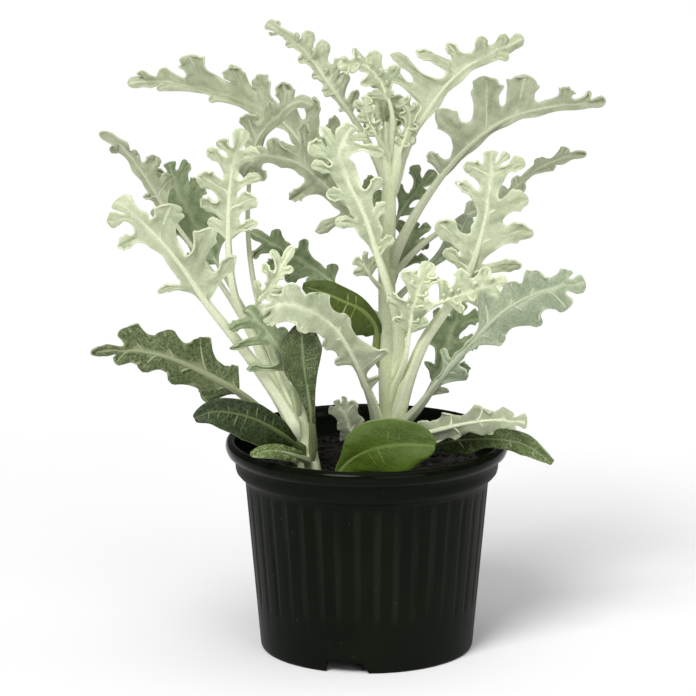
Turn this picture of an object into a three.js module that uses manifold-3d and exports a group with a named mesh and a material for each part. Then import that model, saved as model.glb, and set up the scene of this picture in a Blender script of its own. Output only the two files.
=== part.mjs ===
// Dusty miller in a nursery pot: pot, soil, two plant stems, a growing tip and the separate leaves.
// Millimetres, +Z up.
import * as THREE from "three";
import { mergeVertices } from "three/addons/utils/BufferGeometryUtils.js";
import Module from "manifold-3d";

const wasm = await Module();
wasm.setup();

// ---------------------------------------------------------------- driving sizes

const POT_HEIGHT = 91;
const LIP_RADIUS = 60; // a 12 cm nursery pot, across the lip
const FOOT_RADIUS = 45;
const WALL = 1.3;
const BASE_LIFT = 5; // the base plate stands clear of the floor
const FLUTES = 38;
const FLUTE_DEPTH = 0.5;
const NOTCHES = 3;
const NOTCH_WIDTH = 18;
const NOTCH_HEIGHT = 4.6;
const NOTCH_TURN = -101.5; // degrees, the first notch a little left of the front
const SOIL_LEVEL = 78;
const GAP = 0.3;
const BLADE = 0.42; // half the thickness of a felted blade
const MARGIN = 0.34; // half the thickness at its margin
const LOBE_RISE = 0.24; // how much a lobe is bowed upwards, for its reach

const rad = THREE.MathUtils.degToRad;
const vec = (x, y, z) => new THREE.Vector3(x, y, z);

// ---------------------------------------------------------------- placing

// The plant is laid out on a front elevation, as a standing eye sees it: x and z lie on the plane y = 0,
// and a point deeper or nearer slides along its own line of sight.
const EYE = vec(-8, -2000, 610);

function at([x, z, y]) {
  return vec(x, 0, z).sub(EYE).multiplyScalar((y - EYE.y) / -EYE.y).add(EYE);
}

// The stems stand in plain holes in the soil; each row is x, y, z and the radius there.
const LEFT_STEM = [[-24, -15, 56, 4.8], [-24, -15, 80, 4.8], [-28, -15, 100, 4.2], [-31, -15, 114, 3.2]];
const RIGHT_STEM = [
  [10.5, 9, 56, 4.2], [10.5, 9, 80, 4.1], [9, 9, 110, 3.8],
  [8.5, 9, 150, 3.6], [9, 9, 185, 3.2], [10, 9, 220, 2],
];
const STEMS = { left: LEFT_STEM, right: RIGHT_STEM };

// Moves the foot of a leaf stalk against its stem, with a hair of air between.
function rooted(spec) {
  const points = spec.rib.map(at);
  if (!spec.from) return points;
  const rows = STEMS[spec.from];
  const foot = points[0];
  const k = Math.max(1, rows.findIndex((row) => row[2] >= foot.z));
  const [low, high] = rows[rows.length - 1][2] < foot.z ? rows.slice(-2) : [rows[k - 1], rows[k]];
  const f = Math.min(1, (foot.z - low[2]) / (high[2] - low[2]));
  const [x, y, , r] = low.map((v, i) => v + (high[i] - v) * f);
  const out = vec(foot.x - x, foot.y - y, 0).normalize();
  const way = points[1].clone().sub(foot).normalize();
  const room = spec.stalk * Math.sqrt(1 - way.dot(out) ** 2);
  foot.set(x, y, foot.z).addScaledVector(out, r + GAP + room);
  return points;
}

// A smooth line through hand-set points, walked by its length.
class Line {
  constructor(points) {
    this.curve = new THREE.CatmullRomCurve3(points, false, "centripetal");
    this.curve.arcLengthDivisions = 240;
    this.length = this.curve.getLength();
  }
  point(t) {
    return this.curve.getPointAt(Math.min(Math.max(t, 0), 1));
  }
  tangent(t) {
    const a = this.point(t - 0.01);
    const b = this.point(t + 0.01);
    return b.sub(a).normalize();
  }
  // to the left of the way it grows, across the elevation, turned about itself by roll
  across(t, roll = 0) {
    const along = this.tangent(t);
    const left = vec(0, 1, 0).cross(along).negate().normalize();
    const out = left.clone().cross(along).negate();
    const turn = rad(roll);
    return left.multiplyScalar(Math.cos(turn)).add(out.multiplyScalar(Math.sin(turn)));
  }
}

// ---------------------------------------------------------------- sheets

// A leaf is one sheet of triangles given a thickness.
// Both faces share the triangles, and a wall runs round the margin.
class Sheet {
  constructor() {
    this.points = [];
    this.half = [];
    this.faces = [];
  }
  add(point, half) {
    this.points.push(point);
    this.half.push(half);
    return this.points.length - 1;
  }
  face(side, a, b, c) {
    if (a === b || b === c || c === a) return;
    this.faces.push(side > 0 ? [a, b, c] : [a, c, b]);
  }
  // fills between two rows of points that run the same way
  rows(side, inner, outer) {
    for (let i = 0; i + 1 < inner.length; i += 1) {
      this.face(side, inner[i], inner[i + 1], outer[i + 1]);
      this.face(side, inner[i], outer[i + 1], outer[i]);
    }
  }
  // fills between two rows with different counts, each point with its place along
  zip(side, inner, outer) {
    let i = 0;
    let j = 0;
    while (i + 1 < inner.length || j + 1 < outer.length) {
      const stepIn = j + 1 >= outer.length || (i + 1 < inner.length && inner[i + 1].t <= outer[j + 1].t);
      if (stepIn) {
        this.face(side, inner[i].id, inner[i + 1].id, outer[j].id);
        i += 1;
      } else {
        this.face(side, inner[i].id, outer[j + 1].id, outer[j].id);
        j += 1;
      }
    }
  }
  geometry() {
    const normals = this.points.map(() => vec(0, 0, 0));
    const edges = new Map();
    for (const [a, b, c] of this.faces) {
      const ab = this.points[b].clone().sub(this.points[a]);
      const ac = this.points[c].clone().sub(this.points[a]);
      const n = ab.cross(ac);
      for (const v of [a, b, c]) normals[v].add(n);
      for (const [p, q] of [[a, b], [b, c], [c, a]]) edges.set(p + "_" + q, [p, q]);
    }
    const count = this.points.length;
    const xyz = [];
    for (const sign of [1, -1]) {
      this.points.forEach((point, i) => {
        const n = normals[i].clone().normalize().multiplyScalar(sign * this.half[i]);
        xyz.push(...point.clone().add(n).toArray());
      });
    }
    const index = [];
    for (const [a, b, c] of this.faces) index.push(a, b, c, c + count, b + count, a + count);
    for (const [p, q] of edges.values()) {
      if (edges.has(q + "_" + p)) continue;
      index.push(q, p, p + count, q, p + count, q + count);
    }
    return new THREE.BufferGeometry()
      .setAttribute("position", new THREE.Float32BufferAttribute(xyz, 3))
      .setIndex(index);
  }
}

// ---------------------------------------------------------------- leaves

// The lobes of one leaf, each with the place on the midrib it grows from and the side it is on.
function lobesOf(spec, line) {
  const flat = (p) => vec(p.x, 0, p.z);
  const found = spec.lobes.map(([x, z, dy = 0, width = spec.width, lean = spec.lean ?? 0.45], i) => {
    let near = 0;
    let best = Infinity;
    for (let k = 4; k <= 60; k += 1) {
      const p = line.point(k / 60);
      const far = flat(p).distanceTo(flat(at([x, z, p.y])));
      if (far < best) {
        best = far;
        near = k / 60;
      }
    }
    const end = 1 - (0.9 * spec.tip) / line.length;
    const t = THREE.MathUtils.clamp(near - (lean * best) / line.length, 0.06, end);
    const base = line.point(t);
        const left = line.across(t);
    const side = flat(at([x, z, base.y])).sub(flat(base)).dot(left) >= 0 ? 1 : -1;
    const sway = 1.5 * Math.sin(2.4 * i);
    const cup = -(spec.cup ?? 0.15) * best + sway;
    const tip = at([x, z, base.y + dy + cup]);
    return { t, side, tip, width };
  });
  const step = 2.6 / line.length;
  for (const side of [1, -1]) {
    const mine = found.filter((l) => l.side === side).sort((a, b) => a.t - b.t);
    mine.forEach((l, i) => {
      if (i) l.t = Math.max(l.t, mine[i - 1].t + step);
    });
  }
  return found.filter((l) => l.t < 0.97).sort((a, b) => a.t - b.t);
}

// One lobed leaf: stalk, midrib, web and lobes, the last lobe at the end of the midrib.
function lobedLeaf(spec) {
  const line = new Line(rooted(spec));
  const sheet = new Sheet();
  const lobes = lobesOf(spec, line);
  const reach = Math.min(...lobes.map((l) => l.t));
  const start = Math.max(0.04, reach - 3 / line.length);
  const stalk = (t) => THREE.MathUtils.lerp(spec.stalk, spec.stalk * 0.6, Math.min(1, t / start));

  // stalk, as a row of three points that is thick in the middle
  const steps = Math.max(1, Math.round((start * line.length) / 16));
  let row = null;
  for (let k = 0; k <= steps; k += 1) {
    const t = (start * k) / steps;
    const r = stalk(t);
    const p = line.point(t);
    const side = line.across(t, spec.roll ?? 0).multiplyScalar(r * 0.95);
    const next = [
      sheet.add(p.clone().add(side), Math.max(r * 0.5, BLADE)),
      sheet.add(p, Math.max(r, BLADE)),
      sheet.add(p.clone().sub(side), Math.max(r * 0.5, BLADE)),
    ];
    if (row) {
      sheet.rows(1, [row[1], next[1]], [row[0], next[0]]);
      sheet.rows(-1, [row[1], next[1]], [row[2], next[2]]);
    }
    row = next;
  }

  // midrib points that both halves share
  const last = Math.max(...lobes.map((l) => l.t));
  const bare = Math.min(0.5 * (last + 1), last + 2.4 / line.length);
  const ends = [0.35, 0.78].map((a) => bare + (1 - bare) * a);
  const marks = [...lobes.map((l) => l.t), ...ends].sort((a, b) => a - b);
  const ribRow = [{ t: start, id: row[1] }];
  const addRib = (t) => {
    const half = THREE.MathUtils.lerp(Math.max(stalk(start), BLADE), BLADE, (t - start) / (1 - start));
    ribRow.push({ t, id: sheet.add(line.point(t), half) });
  };
  for (const t of marks) {
    while (t - ribRow[ribRow.length - 1].t > 10 / line.length) {
      addRib(ribRow[ribRow.length - 1].t + 6 / line.length);
    }
    if (t - ribRow[ribRow.length - 1].t > 1.8 / line.length) addRib(t);
  }
  const tipId = sheet.add(line.point(1), MARGIN);

  for (const side of [1, -1]) {
    const mine = lobes.filter((l) => l.side === side);
    const edge = [{ t: start, id: side > 0 ? row[0] : row[2] }];
    const length = line.length;
    const out = (t, far) => line.across(t, spec.roll ?? 0).multiplyScalar(side * far);
    // how far the web beside the midrib reaches where no lobe grows
    const rim = (t) => {
      const along = Math.min(1, ((t - start) * length) / 12);
      return THREE.MathUtils.lerp(1.2, spec.web ?? 1.6, along);
    };
    // a point of the web's rim at the foot of a lobe
    const web = (t, way) => {
      const far = out(t, rim(t)).addScaledVector(way, 0.08);
      edge.push({ t, id: sheet.add(line.point(t).add(far), MARGIN) });
    };
    // keeps the rim of the web beside a curved midrib where no lobe grows
    const follow = (t) => {
      const from = edge[edge.length - 1].t;
      const count = Math.floor(((t - from) * length) / 7);
      for (let k = 1; k <= count; k += 1) {
        const s = from + ((t - from) * k) / (count + 1);
        edge.push({ t: s, id: sheet.add(line.point(s).add(out(s, rim(s))), MARGIN) });
      }
    };
    const awayFrom = (lobe, point) => {
      const middle = new THREE.Line3(line.point(lobe.t), lobe.tip);
      return middle.closestPointToPoint(point, true, vec(0, 0, 0)).distanceTo(point);
    };
    const endLobe = { t: ends[0], tip: line.point(1) };
    mine.forEach((lobe, i) => {
      const before = mine[i - 1];
      const after = mine[i + 1];
      const base = line.point(lobe.t);
      const way = lobe.tip.clone().sub(base);
      const reach = (0.6 * lobe.width) / length;
      const near = (l, m) => (m.t - l.t) * length <= 0.85 * (l.width + m.width);
      const joins = (l, m) => l.t > (spec.whole ?? 1) || near(l, m);
      if (before ? !joins(before, lobe) : lobe.t - start > 1.2 * reach) {
        follow(lobe.t - reach);
        web(lobe.t - reach, way);
      }
      const from = edge[edge.length - 1].id;
      const cut = spec.cut ?? 0.35;
      const middle = sheet.add(base.clone().addScaledVector(way, cut), BLADE);
      edge.push({ t: lobe.t, id: middle });
      // the notch between this lobe and the next, or the end lobe
      if (after && joins(lobe, after)) {
        const t = 0.5 * (lobe.t + after.t);
        const other = after.tip.clone().sub(line.point(after.t));
        const deep = Math.max(cut * Math.min(way.length(), other.length()), 1);
        const notch = way.clone().normalize().add(other.normalize()).normalize().multiplyScalar(deep);
        edge.push({ t, id: sheet.add(line.point(t).add(notch), MARGIN) });
      } else if (after) {
        web(lobe.t + reach, way);
      } else {
        const t = Math.min(0.5 * (lobe.t + ends[0]), lobe.t + reach);
        const notch = way.clone().normalize().add(out(t, 1)).normalize();
        notch.multiplyScalar(Math.min(Math.max(0.5 * cut * way.length(), 1), spec.tip * 0.4));
        edge.push({ t, id: sheet.add(line.point(t).add(notch), MARGIN) });
      }
      const to = edge[edge.length - 1].id;
      // the lobe itself, kept clear of the ones beside it
      const beside = [before, after ?? endLobe].filter((l) => l);
      const foot = sheet.points[middle];
      const span = sheet.points[to].clone().sub(sheet.points[from]);
      const room = span.length();
      const run = lobe.tip.clone().sub(foot);
      const along = run.clone().normalize();
      const across = span.clone().normalize();
      const ahead = along.clone().addScaledVector(across, -along.dot(across)).normalize();
      const broad = span.addScaledVector(along, -span.dot(along)).normalize();
      const slant = Math.abs(broad.dot(ahead));
      let rowIds = [from, middle, to];
      let parts = [[0.45, 1.0], [0.82, 0.95]];
      if (run.length() < 5) parts = [[0.6, 0.95]];
      if (run.length() > 6 && lobe.width >= 7) parts = [[0.35, 0.9], [0.6, 1.12], [0.8, 0.82]];
      for (const [a, w] of parts) {
        const centre = foot.clone().addScaledVector(run, a);
        centre.z += LOBE_RISE * run.length() * a * (1 - a);
        const limits = beside.map((l) => 0.46 * awayFrom(l, centre));
        // a lobe that leaves its base aslant may not swing back over it
        if (slant > 0.05) limits.push((a * run.dot(ahead) - MARGIN) / slant);
        const grown = 0.5 * room * (run.length() < 5 ? 0.9 : 0.9 + 0.4 * a);
        const half = Math.max(0.8, Math.min(0.5 * w * lobe.width, grown, ...limits));
        const nextIds = [
          sheet.add(centre.clone().addScaledVector(broad, -half), MARGIN),
          sheet.add(centre, BLADE),
          sheet.add(centre.clone().addScaledVector(broad, half), MARGIN),
        ];
        sheet.rows(side, rowIds, nextIds);
        rowIds = nextIds;
      }
      const end = sheet.add(lobe.tip, MARGIN);
      sheet.face(side, rowIds[0], rowIds[1], end);
      sheet.face(side, rowIds[1], rowIds[2], end);
    });
    follow(ends[0]);
    for (const [k, t] of ends.entries()) {
      const p = line.point(t);
      const room = mine.length ? 0.46 * awayFrom(mine[mine.length - 1], p) : Infinity;
      const far = out(t, Math.max(0.8, Math.min(0.5 * spec.tip * [0.85, 0.9][k], room)));
      edge.push({ t, id: sheet.add(p.add(far), MARGIN) });
    }
    sheet.zip(side, ribRow, edge);
    sheet.face(side, ribRow[ribRow.length - 1].id, tipId, edge[edge.length - 1].id);
  }
  return sheet.geometry();
}

// One young leaf with a plain edge: half widths to the left and right along the midrib.
function plainLeaf(spec) {
  const line = new Line(rooted(spec));
  const sheet = new Sheet();
  const rows = [[0, spec.stalk, spec.stalk], ...spec.halves];
  let row = null;
  for (const [t, left, right] of rows) {
    const p = line.point(t);
    const out = line.across(t, spec.roll ?? 0);
    const fat = THREE.MathUtils.lerp(spec.stalk, BLADE, Math.min(1, t * 1.6));
    const lift = vec(0, -(spec.cup ?? 0.2), 0);
    const next = [
      sheet.add(p.clone().addScaledVector(out, left).addScaledVector(lift, left), BLADE),
      sheet.add(p, Math.max(fat, BLADE)),
      sheet.add(p.clone().addScaledVector(out, -right).addScaledVector(lift, right), BLADE),
    ];
    if (row) {
      sheet.rows(1, [row[1], next[1]], [row[0], next[0]]);
      sheet.rows(-1, [row[1], next[1]], [row[2], next[2]]);
    }
    row = next;
  }
  const end = sheet.add(line.point(1), BLADE);
  sheet.face(1, row[1], end, row[0]);
  sheet.face(-1, row[1], end, row[2]);
  return sheet.geometry();
}

// A tapering stem, ring on ring, closed at both ends.
function stem(rows, around = 10) {
  const rings = rows.length;
  const xyz = [];
  const index = [];
  for (const [x, y, z, r] of rows) {
    for (let s = 0; s < around; s += 1) {
      const turn = (s / around) * 2 * Math.PI;
      xyz.push(x + r * Math.cos(turn), y + r * Math.sin(turn), z);
    }
  }
  for (let k = 0; k + 1 < rings; k += 1) {
    for (let s = 0; s < around; s += 1) {
      const a = k * around + s;
      const b = k * around + ((s + 1) % around);
      index.push(a, b, b + around, a, b + around, a + around);
    }
  }
  for (let s = 1; s + 1 < around; s += 1) {
    const top = (rings - 1) * around;
    index.push(0, s + 1, s, top, top + s, top + s + 1);
  }
  return new THREE.BufferGeometry()
    .setAttribute("position", new THREE.Float32BufferAttribute(xyz, 3))
    .setIndex(index);
}

// ---------------------------------------------------------------- the leaf table

// Each leaf: rib is its midrib as [x, z, y] from the foot of the stalk to the tip; lobes are their tips
// as [x, z, how far behind the midrib, width]; halves are [place along, half width left, half width
// right]. stalk is the stalk's half thickness, tip the width of the end lobe, web the half width of the
// blade where no lobe grows, cut how far the web reaches into the lobes, whole the place along past which
// all lobes join, lean how far back a lobe's root lies, cup how far the lobes stand forward and roll a
// turn about the midrib in degrees.
const LEAVES = [
  // the left plant
  {
    name: "left_broad_leaf", from: "left", width: 11, tip: 11, stalk: 2.8, cut: 0.5, web: 5, cup:
    0.1,
    rib: [
      [-31, 97, -21], [-40, 112, -24], [-55, 133, -32], [-68, 150, -40], [-80, 168, -47],
      [-93, 183, -50], [-106, 193, -50],
    ],
    lobes: [
      [-109, 185, 0, 7], [-105, 173.5, 2, 6], [-88, 154, 2, 3.5], [-82, 192, -2, 12],
      [-65, 182, -3, 10], [-55, 170, -2, 6],
    ],
  },
  {
    name: "upright_left_leaf", from: "left", width: 7.5, tip: 9, stalk: 2.2, cut: 0.35, web: 2.6,
    rib: [
      [-35, 107.5, -15.5], [-46, 130, -14], [-55, 150, -12], [-58, 170, -12], [-58, 190, -12],
      [-56, 210, -14], [-52, 224, -16],
    ],
    lobes: [
      [-62, 219.5, 0], [-67, 215, -2, 5], [-71, 204, 0, 8], [-70, 194, 2], [-46, 194, -2],
      [-46, 184, 0, 5], [-44.5, 203, 1, 4], [-45, 213, -1, 6], [-66, 184, 3, 5],
    ],
  },
  {
    name: "hooked_leaf", from: "left", width: 8, tip: 5, stalk: 1.4, cut: 0.45, web: 3, whole: 0.8,
    rib: [
      [-31, 107, -10], [-36, 120, -4], [-42, 137, -2], [-48, 160, -2], [-50, 190, 0], [-46, 219, 2],
      [-38, 229, 2], [-29, 235.5, 1], [-22, 234, 0],
    ],
    lobes: [[-51, 230, 0, 7], [-52, 220, 2, 7], [-55, 208, 2, 4], [-33, 240, 2, 4], [-41, 236, 2, 5]],
  },
  {
    name: "edge_on_left_leaf", from: "left", width: 8, tip: 4, stalk: 1.4, cut: 0.45, cup: 0, web:
    2.4,
    rib: [
      [-34, 104, -12], [-45, 128, -6], [-60, 155, 2], [-78, 180, 4], [-86, 192, 4], [-94, 205, 2],
      [-104, 218, 0], [-112, 222.5, 0],
    ],
    lobes: [
      [-107, 214.5, 7, 3], [-96, 213.5, 4, 5], [-89, 212, 6, 9], [-94, 195, -5, 3.5], [-82, 203, 6, 8],
      [-90, 187, 4, 5],
    ],
  },
  {
    name: "grey_back_leaf", look: "grey", from: "left", width: 9, tip: 9, stalk: 1.3, cut: 0.6, web:
    4.5, whole: 0.5,
    rib: [
      [-29, 98, -10], [-37, 118, 4], [-48, 140, 14], [-64, 168, 26], [-73, 185, 32], [-80, 199, 34],
      [-83, 210, 34],
    ],
    lobes: [
      [-89, 206, 0], [-74, 209, 0], [-69, 201, 0], [-62, 191, 0], [-89, 193, 2], [-84, 180, 2, 6],
      [-60, 179, 0, 6], [-78, 168, 0, 5],
    ],
  },
  {
    name: "mottled_left_leaf", look: "old", from: "left", width: 12, tip: 4.5, stalk: 2.5, cut:
    0.78, cup: 0.05, whole: 0.3, lean: 0.7,
    rib: [
      [-33, 87, -15], [-41, 97, -25], [-50, 107, -34], [-65, 117, -44], [-85, 126, -54],
      [-103, 129, -60], [-117, 128, -62],
    ],
    lobes: [
      [-101, 138.5, 2], [-86, 137, 2], [-71, 134.5, 2], [-57, 122.5, 2, 7], [-106, 123.5, -2, 6],
      [-95, 121, -2, 8], [-84, 116, -2], [-70, 108, -2, 9],
    ],
  },
  {
    name: "curled_young_leaf", from: "left", width: 6, tip: 4, stalk: 1.1, cut: 0.4,
    rib: [
      [-32, 105.5, -18.5], [-40, 125, -24], [-47, 148, -30], [-41, 156, -32], [-36, 165, -31],
      [-31, 174, -29],
    ],
    lobes: [
      [-44, 166, -2, 4], [-31, 163, -1, 4], [-40, 172, 2, 3.5], [-47, 159, 0, 3.5],
      [-36, 155, -2, 3.5],
    ],
  },
  {
    name: "small_grey_leaf", look: "grey", from: "left", width: 6, tip: 6, stalk: 1.2, cut: 0.5,
    web: 3,
    rib: [[-29, 106, -19], [-32.5, 119, -27], [-38, 131, -33], [-44, 140, -36], [-51, 147, -37]],
    lobes: [
      [-58, 138, 0, 5], [-58, 129.5, 0, 4], [-51, 120.5, 0, 3.5], [-40, 147, 0, 7], [-34, 138, 0, 6],
    ],
  },
  {
    name: "middle_spoon_leaf", look: "green", from: "left", stalk: 1.5, cup: 0.15,
    rib: [[-21, 86, -22], [-23.5, 100, -28], [-25.5, 115, -33], [-27, 128, -35], [-28, 141, -35]],
    halves: [[0.3, 1.8, 1.6], [0.5, 4, 3], [0.66, 8.8, 5.5], [0.82, 9.4, 8.5], [0.94, 5.6, 6]],
  },
  {
    name: "rim_left_leaf", look: "green", from: "left", stalk: 1.4, cup: 0.2, roll: 10,
    rib: [
      [-28, 85.5, -23], [-37, 93, -32], [-48, 99.5, -40], [-58, 102, -46], [-67, 102, -50],
      [-74, 98.5, -52],
    ],
    halves: [[0.14, 2.4, 2.4], [0.3, 9, 5.5], [0.55, 10, 6.5], [0.8, 7, 6], [0.94, 3.5, 3.2]],
  },
  {
    name: "rim_left_low_leaf", look: "green", from: "left", stalk: 1.3, cup: 0.1, roll: 40,
    rib: [[-25, 80, -24], [-31, 83, -33], [-39, 85, -43], [-50, 83, -54]],
    halves: [[0.25, 2.6, 2.6], [0.55, 3.6, 3.2], [0.85, 3, 3]],
  },
  // leaves low on the right plant
  {
    name: "arched_front_leaf", from: "right", width: 11, tip: 9, stalk: 2.6, cut: 0.72, cup: 0.3,
    whole: 0.3, lean: 0.3,
    rib: [
      [4, 97, 4], [2, 107, -6], [-2, 117, -16], [-7, 128, -26], [-14, 139, -34], [-24, 146, -39],
      [-35, 149, -42], [-45, 146, -44],
    ],
    lobes: [
      [-42, 152.5, 3, 7], [-32, 156.5, 3], [-20, 154, 3], [-8.5, 143.5, 3, 8], [8.5, 129, -2, 5],
      [5.5, 118, 2, 4], [-42, 139.5, -1, 7], [-29, 137, -1, 8], [-19, 131, -1, 8], [-13, 124, -2, 6],
    ],
  },
  {
    name: "front_oval_leaf", look: "green", stalk: 1.6, cup: 0.1, roll: 10,
    rib: [
      [-15, 62.5, -40], [-13.5, 72, -41], [-8, 80, -42], [0, 85, -44], [10, 87.5, -45], [20, 88, -45],
      [30, 87, -44],
    ],
    halves: [
      [0.2, 1.6, 1.6], [0.34, 4.5, 2.8], [0.44, 10.5, 6.8], [0.56, 13.5, 10], [0.7, 13, 11.8],
      [0.84, 10.5, 10.8], [0.95, 5.5, 6],
    ],
  },
  {
    name: "small_toothed_leaf", from: "right", width: 4.5, tip: 5, stalk: 1.3, cut: 0.62, whole:
    0.1,
    rib: [[4, 83.5, 4], [-2, 84, -5], [-6, 91, -11], [-9, 98, -14], [-14, 107, -16]],
    lobes: [
      [-14, 95, 0], [-12.5, 90, 0], [-18, 103, 0], [-2, 100, 0], [-4, 106, 0], [0, 93, 0],
      [-9, 109, 0],
    ],
  },
  {
    name: "rim_right_leaf", from: "right", width: 12, tip: 8, stalk: 2.1, cut: 0.84, cup: 0.1,
    whole: 0.1,
    rib: [[12, 86, 2], [20, 91, -11], [32, 94.5, -22], [45, 97.5, -30], [57, 98.5, -35], [68, 97, -38]],
    lobes: [
      [24, 98, 0, 6], [36, 100.5, 0], [49, 103.5, 0], [60, 102.5, 0, 7], [29, 88.5, 2, 7],
      [40, 92, 2, 9], [51, 92.5, 2, 7], [62, 94.5, 1, 5],
    ],
  },
  {
    name: "rim_right_low_leaf", look: "green", from: "right", stalk: 1.3, cup: 0.25, roll: 20,
    rib: [[16, 83.5, 7], [27, 87.5, -3], [40, 90, -15], [53, 90.5, -23], [67, 88, -28], [80, 79, -30]],
    halves: [[0.3, 2.2, 2.2], [0.45, 5, 4.6], [0.62, 5.6, 4.8], [0.8, 5.4, 5.8], [0.93, 2.8, 3]],
  },
  {
    name: "glossy_middle_leaf", look: "green", from: "right", stalk: 1.2, cup: 0.1, roll: 25,
    rib: [[4, 128, 8], [-1, 138, 2], [-8, 147, -3], [-17, 153, -7], [-29, 158, -10]],
    halves: [[0.2, 7, 7], [0.42, 9.5, 10], [0.68, 7, 9], [0.9, 3, 4]],
  },
  {
    name: "old_right_leaf", look: "old", from: "right", width: 12, tip: 9, stalk: 2.5, cut: 0.72,
    cup: 0.05, whole: 0.5, lean: 0.6,
    rib: [
      [17, 95, 2], [22, 104, -6], [33, 119, -18], [44, 132, -28], [58, 146, -38], [75, 155, -46],
      [92, 158.5, -50],
    ],
    lobes: [
      [49, 154, 2, 8], [61, 158.5, 2, 9], [72, 163, 2], [84, 163.5, 1, 9], [84, 147.5, -2],
      [74, 140, -2, 8], [58, 133, -2, 8], [43, 118, 0, 9], [34, 111, 0, 3.5], [32, 129, 2, 4],
    ],
  },
  {
    name: "grey_right_leaf", look: "grey", from: "right", width: 7, tip: 8, stalk: 1.6, cut: 0.5,
    web: 3.4,
    rib: [[15, 94, 17], [24, 107, 24], [31, 122, 30], [36, 138, 34], [40, 150, 36]],
    lobes: [[48, 143, 0], [47, 132, 0], [44, 121, 0, 6], [28, 146, 0], [25, 136, 0], [24, 124, 0, 5]],
  },
  {
    name: "oak_leaf", from: "right", width: 10, tip: 9, stalk: 3.0, cut: 0.4, cup: 0.25, web: 4,
    rib: [
      [15.5, 104, 3], [19, 120, -2], [25, 134, -8], [33, 146, -14], [41, 158, -18], [47, 175, -21],
      [51, 195, -22], [52.5, 215, -20],
    ],
    lobes: [
      [29, 184, 4, 11], [36.5, 201, 4, 5], [42, 209, 3, 6], [59, 213, 3, 5], [66, 209, 3, 6],
      [67.5, 194, 3, 9], [69.5, 180, 3, 9], [65, 166, 3, 6], [33, 172, 3, 6],
    ],
  },
  // leaves high on the right plant
  {
    name: "bright_leaf", from: "right", width: 8, tip: 8, stalk: 2.6, cut: 0.5, web: 4.5,
    rib: [
      [14.5, 124, 4], [13, 139, -3], [9, 155, -8], [4, 171, -12], [-1, 187, -15], [-8, 202, -18],
      [-12, 215, -19], [-5, 225.5, -18],
    ],
    lobes: [
      [-25, 218, -2, 8], [-19.5, 224.5, 2, 4], [-23, 208, -1, 5], [-17, 196, 0, 6], [-12, 184, 0, 5],
      [7, 213.5, 2, 7], [0, 220, 1, 5], [6, 203, 2, 5], [8, 192, 1, 5], [11, 178, 1, 5],
    ],
  },
  {
    name: "dark_underside_leaf", from: "right", width: 8, tip: 6, stalk: 1.9, cut: 0.45, web: 3.5,
    rib: [
      [3, 180, 8], [-4, 187.5, 6], [-12, 194, 4], [-24, 206, 0], [-36, 212, -2], [-46, 212, -3],
      [-52, 204, -3],
    ],
    lobes: [
      [-40, 220, 0, 7], [-26, 227, 2, 6], [-43, 202, 0, 6], [-33, 194, 0, 7], [-22, 180, 0, 5],
      [-11, 182, 0, 5], [-15, 210, 2, 5],
    ],
  },
  {
    name: "back_middle_leaf", look: "grey", from: "right", width: 6, tip: 5, stalk: 1.4, cut: 0.5,
    web: 3,
    rib: [[3, 144, 14], [-8, 152, 20], [-20, 163, 25], [-33, 171, 28], [-49, 180, 30]],
    lobes: [
      [-25, 157, 0], [-34, 159, 0], [-42, 164, 0], [-49, 169, 0, 4], [-14, 166, 3], [-26, 177, 3],
      [-38, 181, 3, 5],
    ],
  },
  {
    name: "high_left_leaf", from: "right", width: 11, tip: 4.5, stalk: 2.2, cut: 0.6, cup: 0.1, web:
    2.4, whole: 0.42, lean: 0.95,
    rib: [
      [5, 184, 14], [-6, 196, 20], [-20, 208, 26], [-36, 228, 32], [-52, 235, 37], [-74, 242, 42],
      [-90, 244.5, 45], [-100, 243, 46],
    ],
    lobes: [
      [-13.5, 230, 2, 6], [-22, 238, 2, 7], [-35, 244, 2, 9], [-46, 247, 2, 10], [-57, 251.5, 2, 11],
      [-75, 255, 0, 12], [-86, 249.5, 0, 7], [-94, 248, 0, 4], [-66, 235.5, -2, 5], [-87, 240, -2, 4],
      [-49, 226, 3, 7], [-40, 216, 3, 6],
    ],
  },
  {
    name: "tall_top_leaf", from: "right", width: 7, tip: 5.5, stalk: 1.9, cut: 0.5, web: 2.4, whole:
    0.5,
    rib: [
      [5, 208, 7], [2.5, 214, 5], [-2, 222, 2], [-7.5, 231, 0], [-14.5, 241, -3], [-21.5, 251, -4],
      [-29, 259.5, -5], [-42, 268.5, -4],
    ],
    lobes: [
      [-39, 264, 0, 4], [-34, 259.5, 0, 4], [-29, 253, 0, 5], [-23, 246.5, 0, 4], [-19, 240, 0, 3.5],
      [-24, 264, 2, 6], [-17.5, 260, 2, 6], [-10, 253.5, 2, 4], [-8, 247.5, 2, 5],
      [-4, 240.5, 2, 5, 0.6],
    ],
  },
  {
    name: "tip_left_leaf", from: "right", width: 5, tip: 4.5, stalk: 1.3, cut: 0.5, web: 2,
    rib: [[8, 212, 2], [4, 221, -5], [0, 230, -7], [-1, 238, -7]],
    lobes: [[-5, 235, 0], [-4, 229, 0], [-1, 223, 0], [6, 228, -2, 4]],
  },
  {
    name: "tip_right_leaf", from: "right", width: 5, tip: 5, stalk: 1.3, cut: 0.5, web: 2,
    rib: [[13, 212, 6], [16, 221, 6], [18, 229, 6], [14, 237, 4]],
    lobes: [[22, 234, 0], [22, 226, 0], [13, 230, 2, 4], [20, 219, 1, 3.5]],
  },
  {
    name: "tip_back_leaf", from: "right", width: 5, tip: 5, stalk: 1.3, cut: 0.5, web: 2,
    rib: [[9, 211, 13], [9, 222, 14], [7, 232, 14], [9, 241, 13]],
    lobes: [[1, 232, 0], [2, 239, 0], [15, 237, 0], [15, 228, 0]],
  },
  {
    name: "top_curl_leaf", from: "right", width: 5.5, tip: 5, stalk: 1.3, cut: 0.5, web: 2.2,
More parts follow.
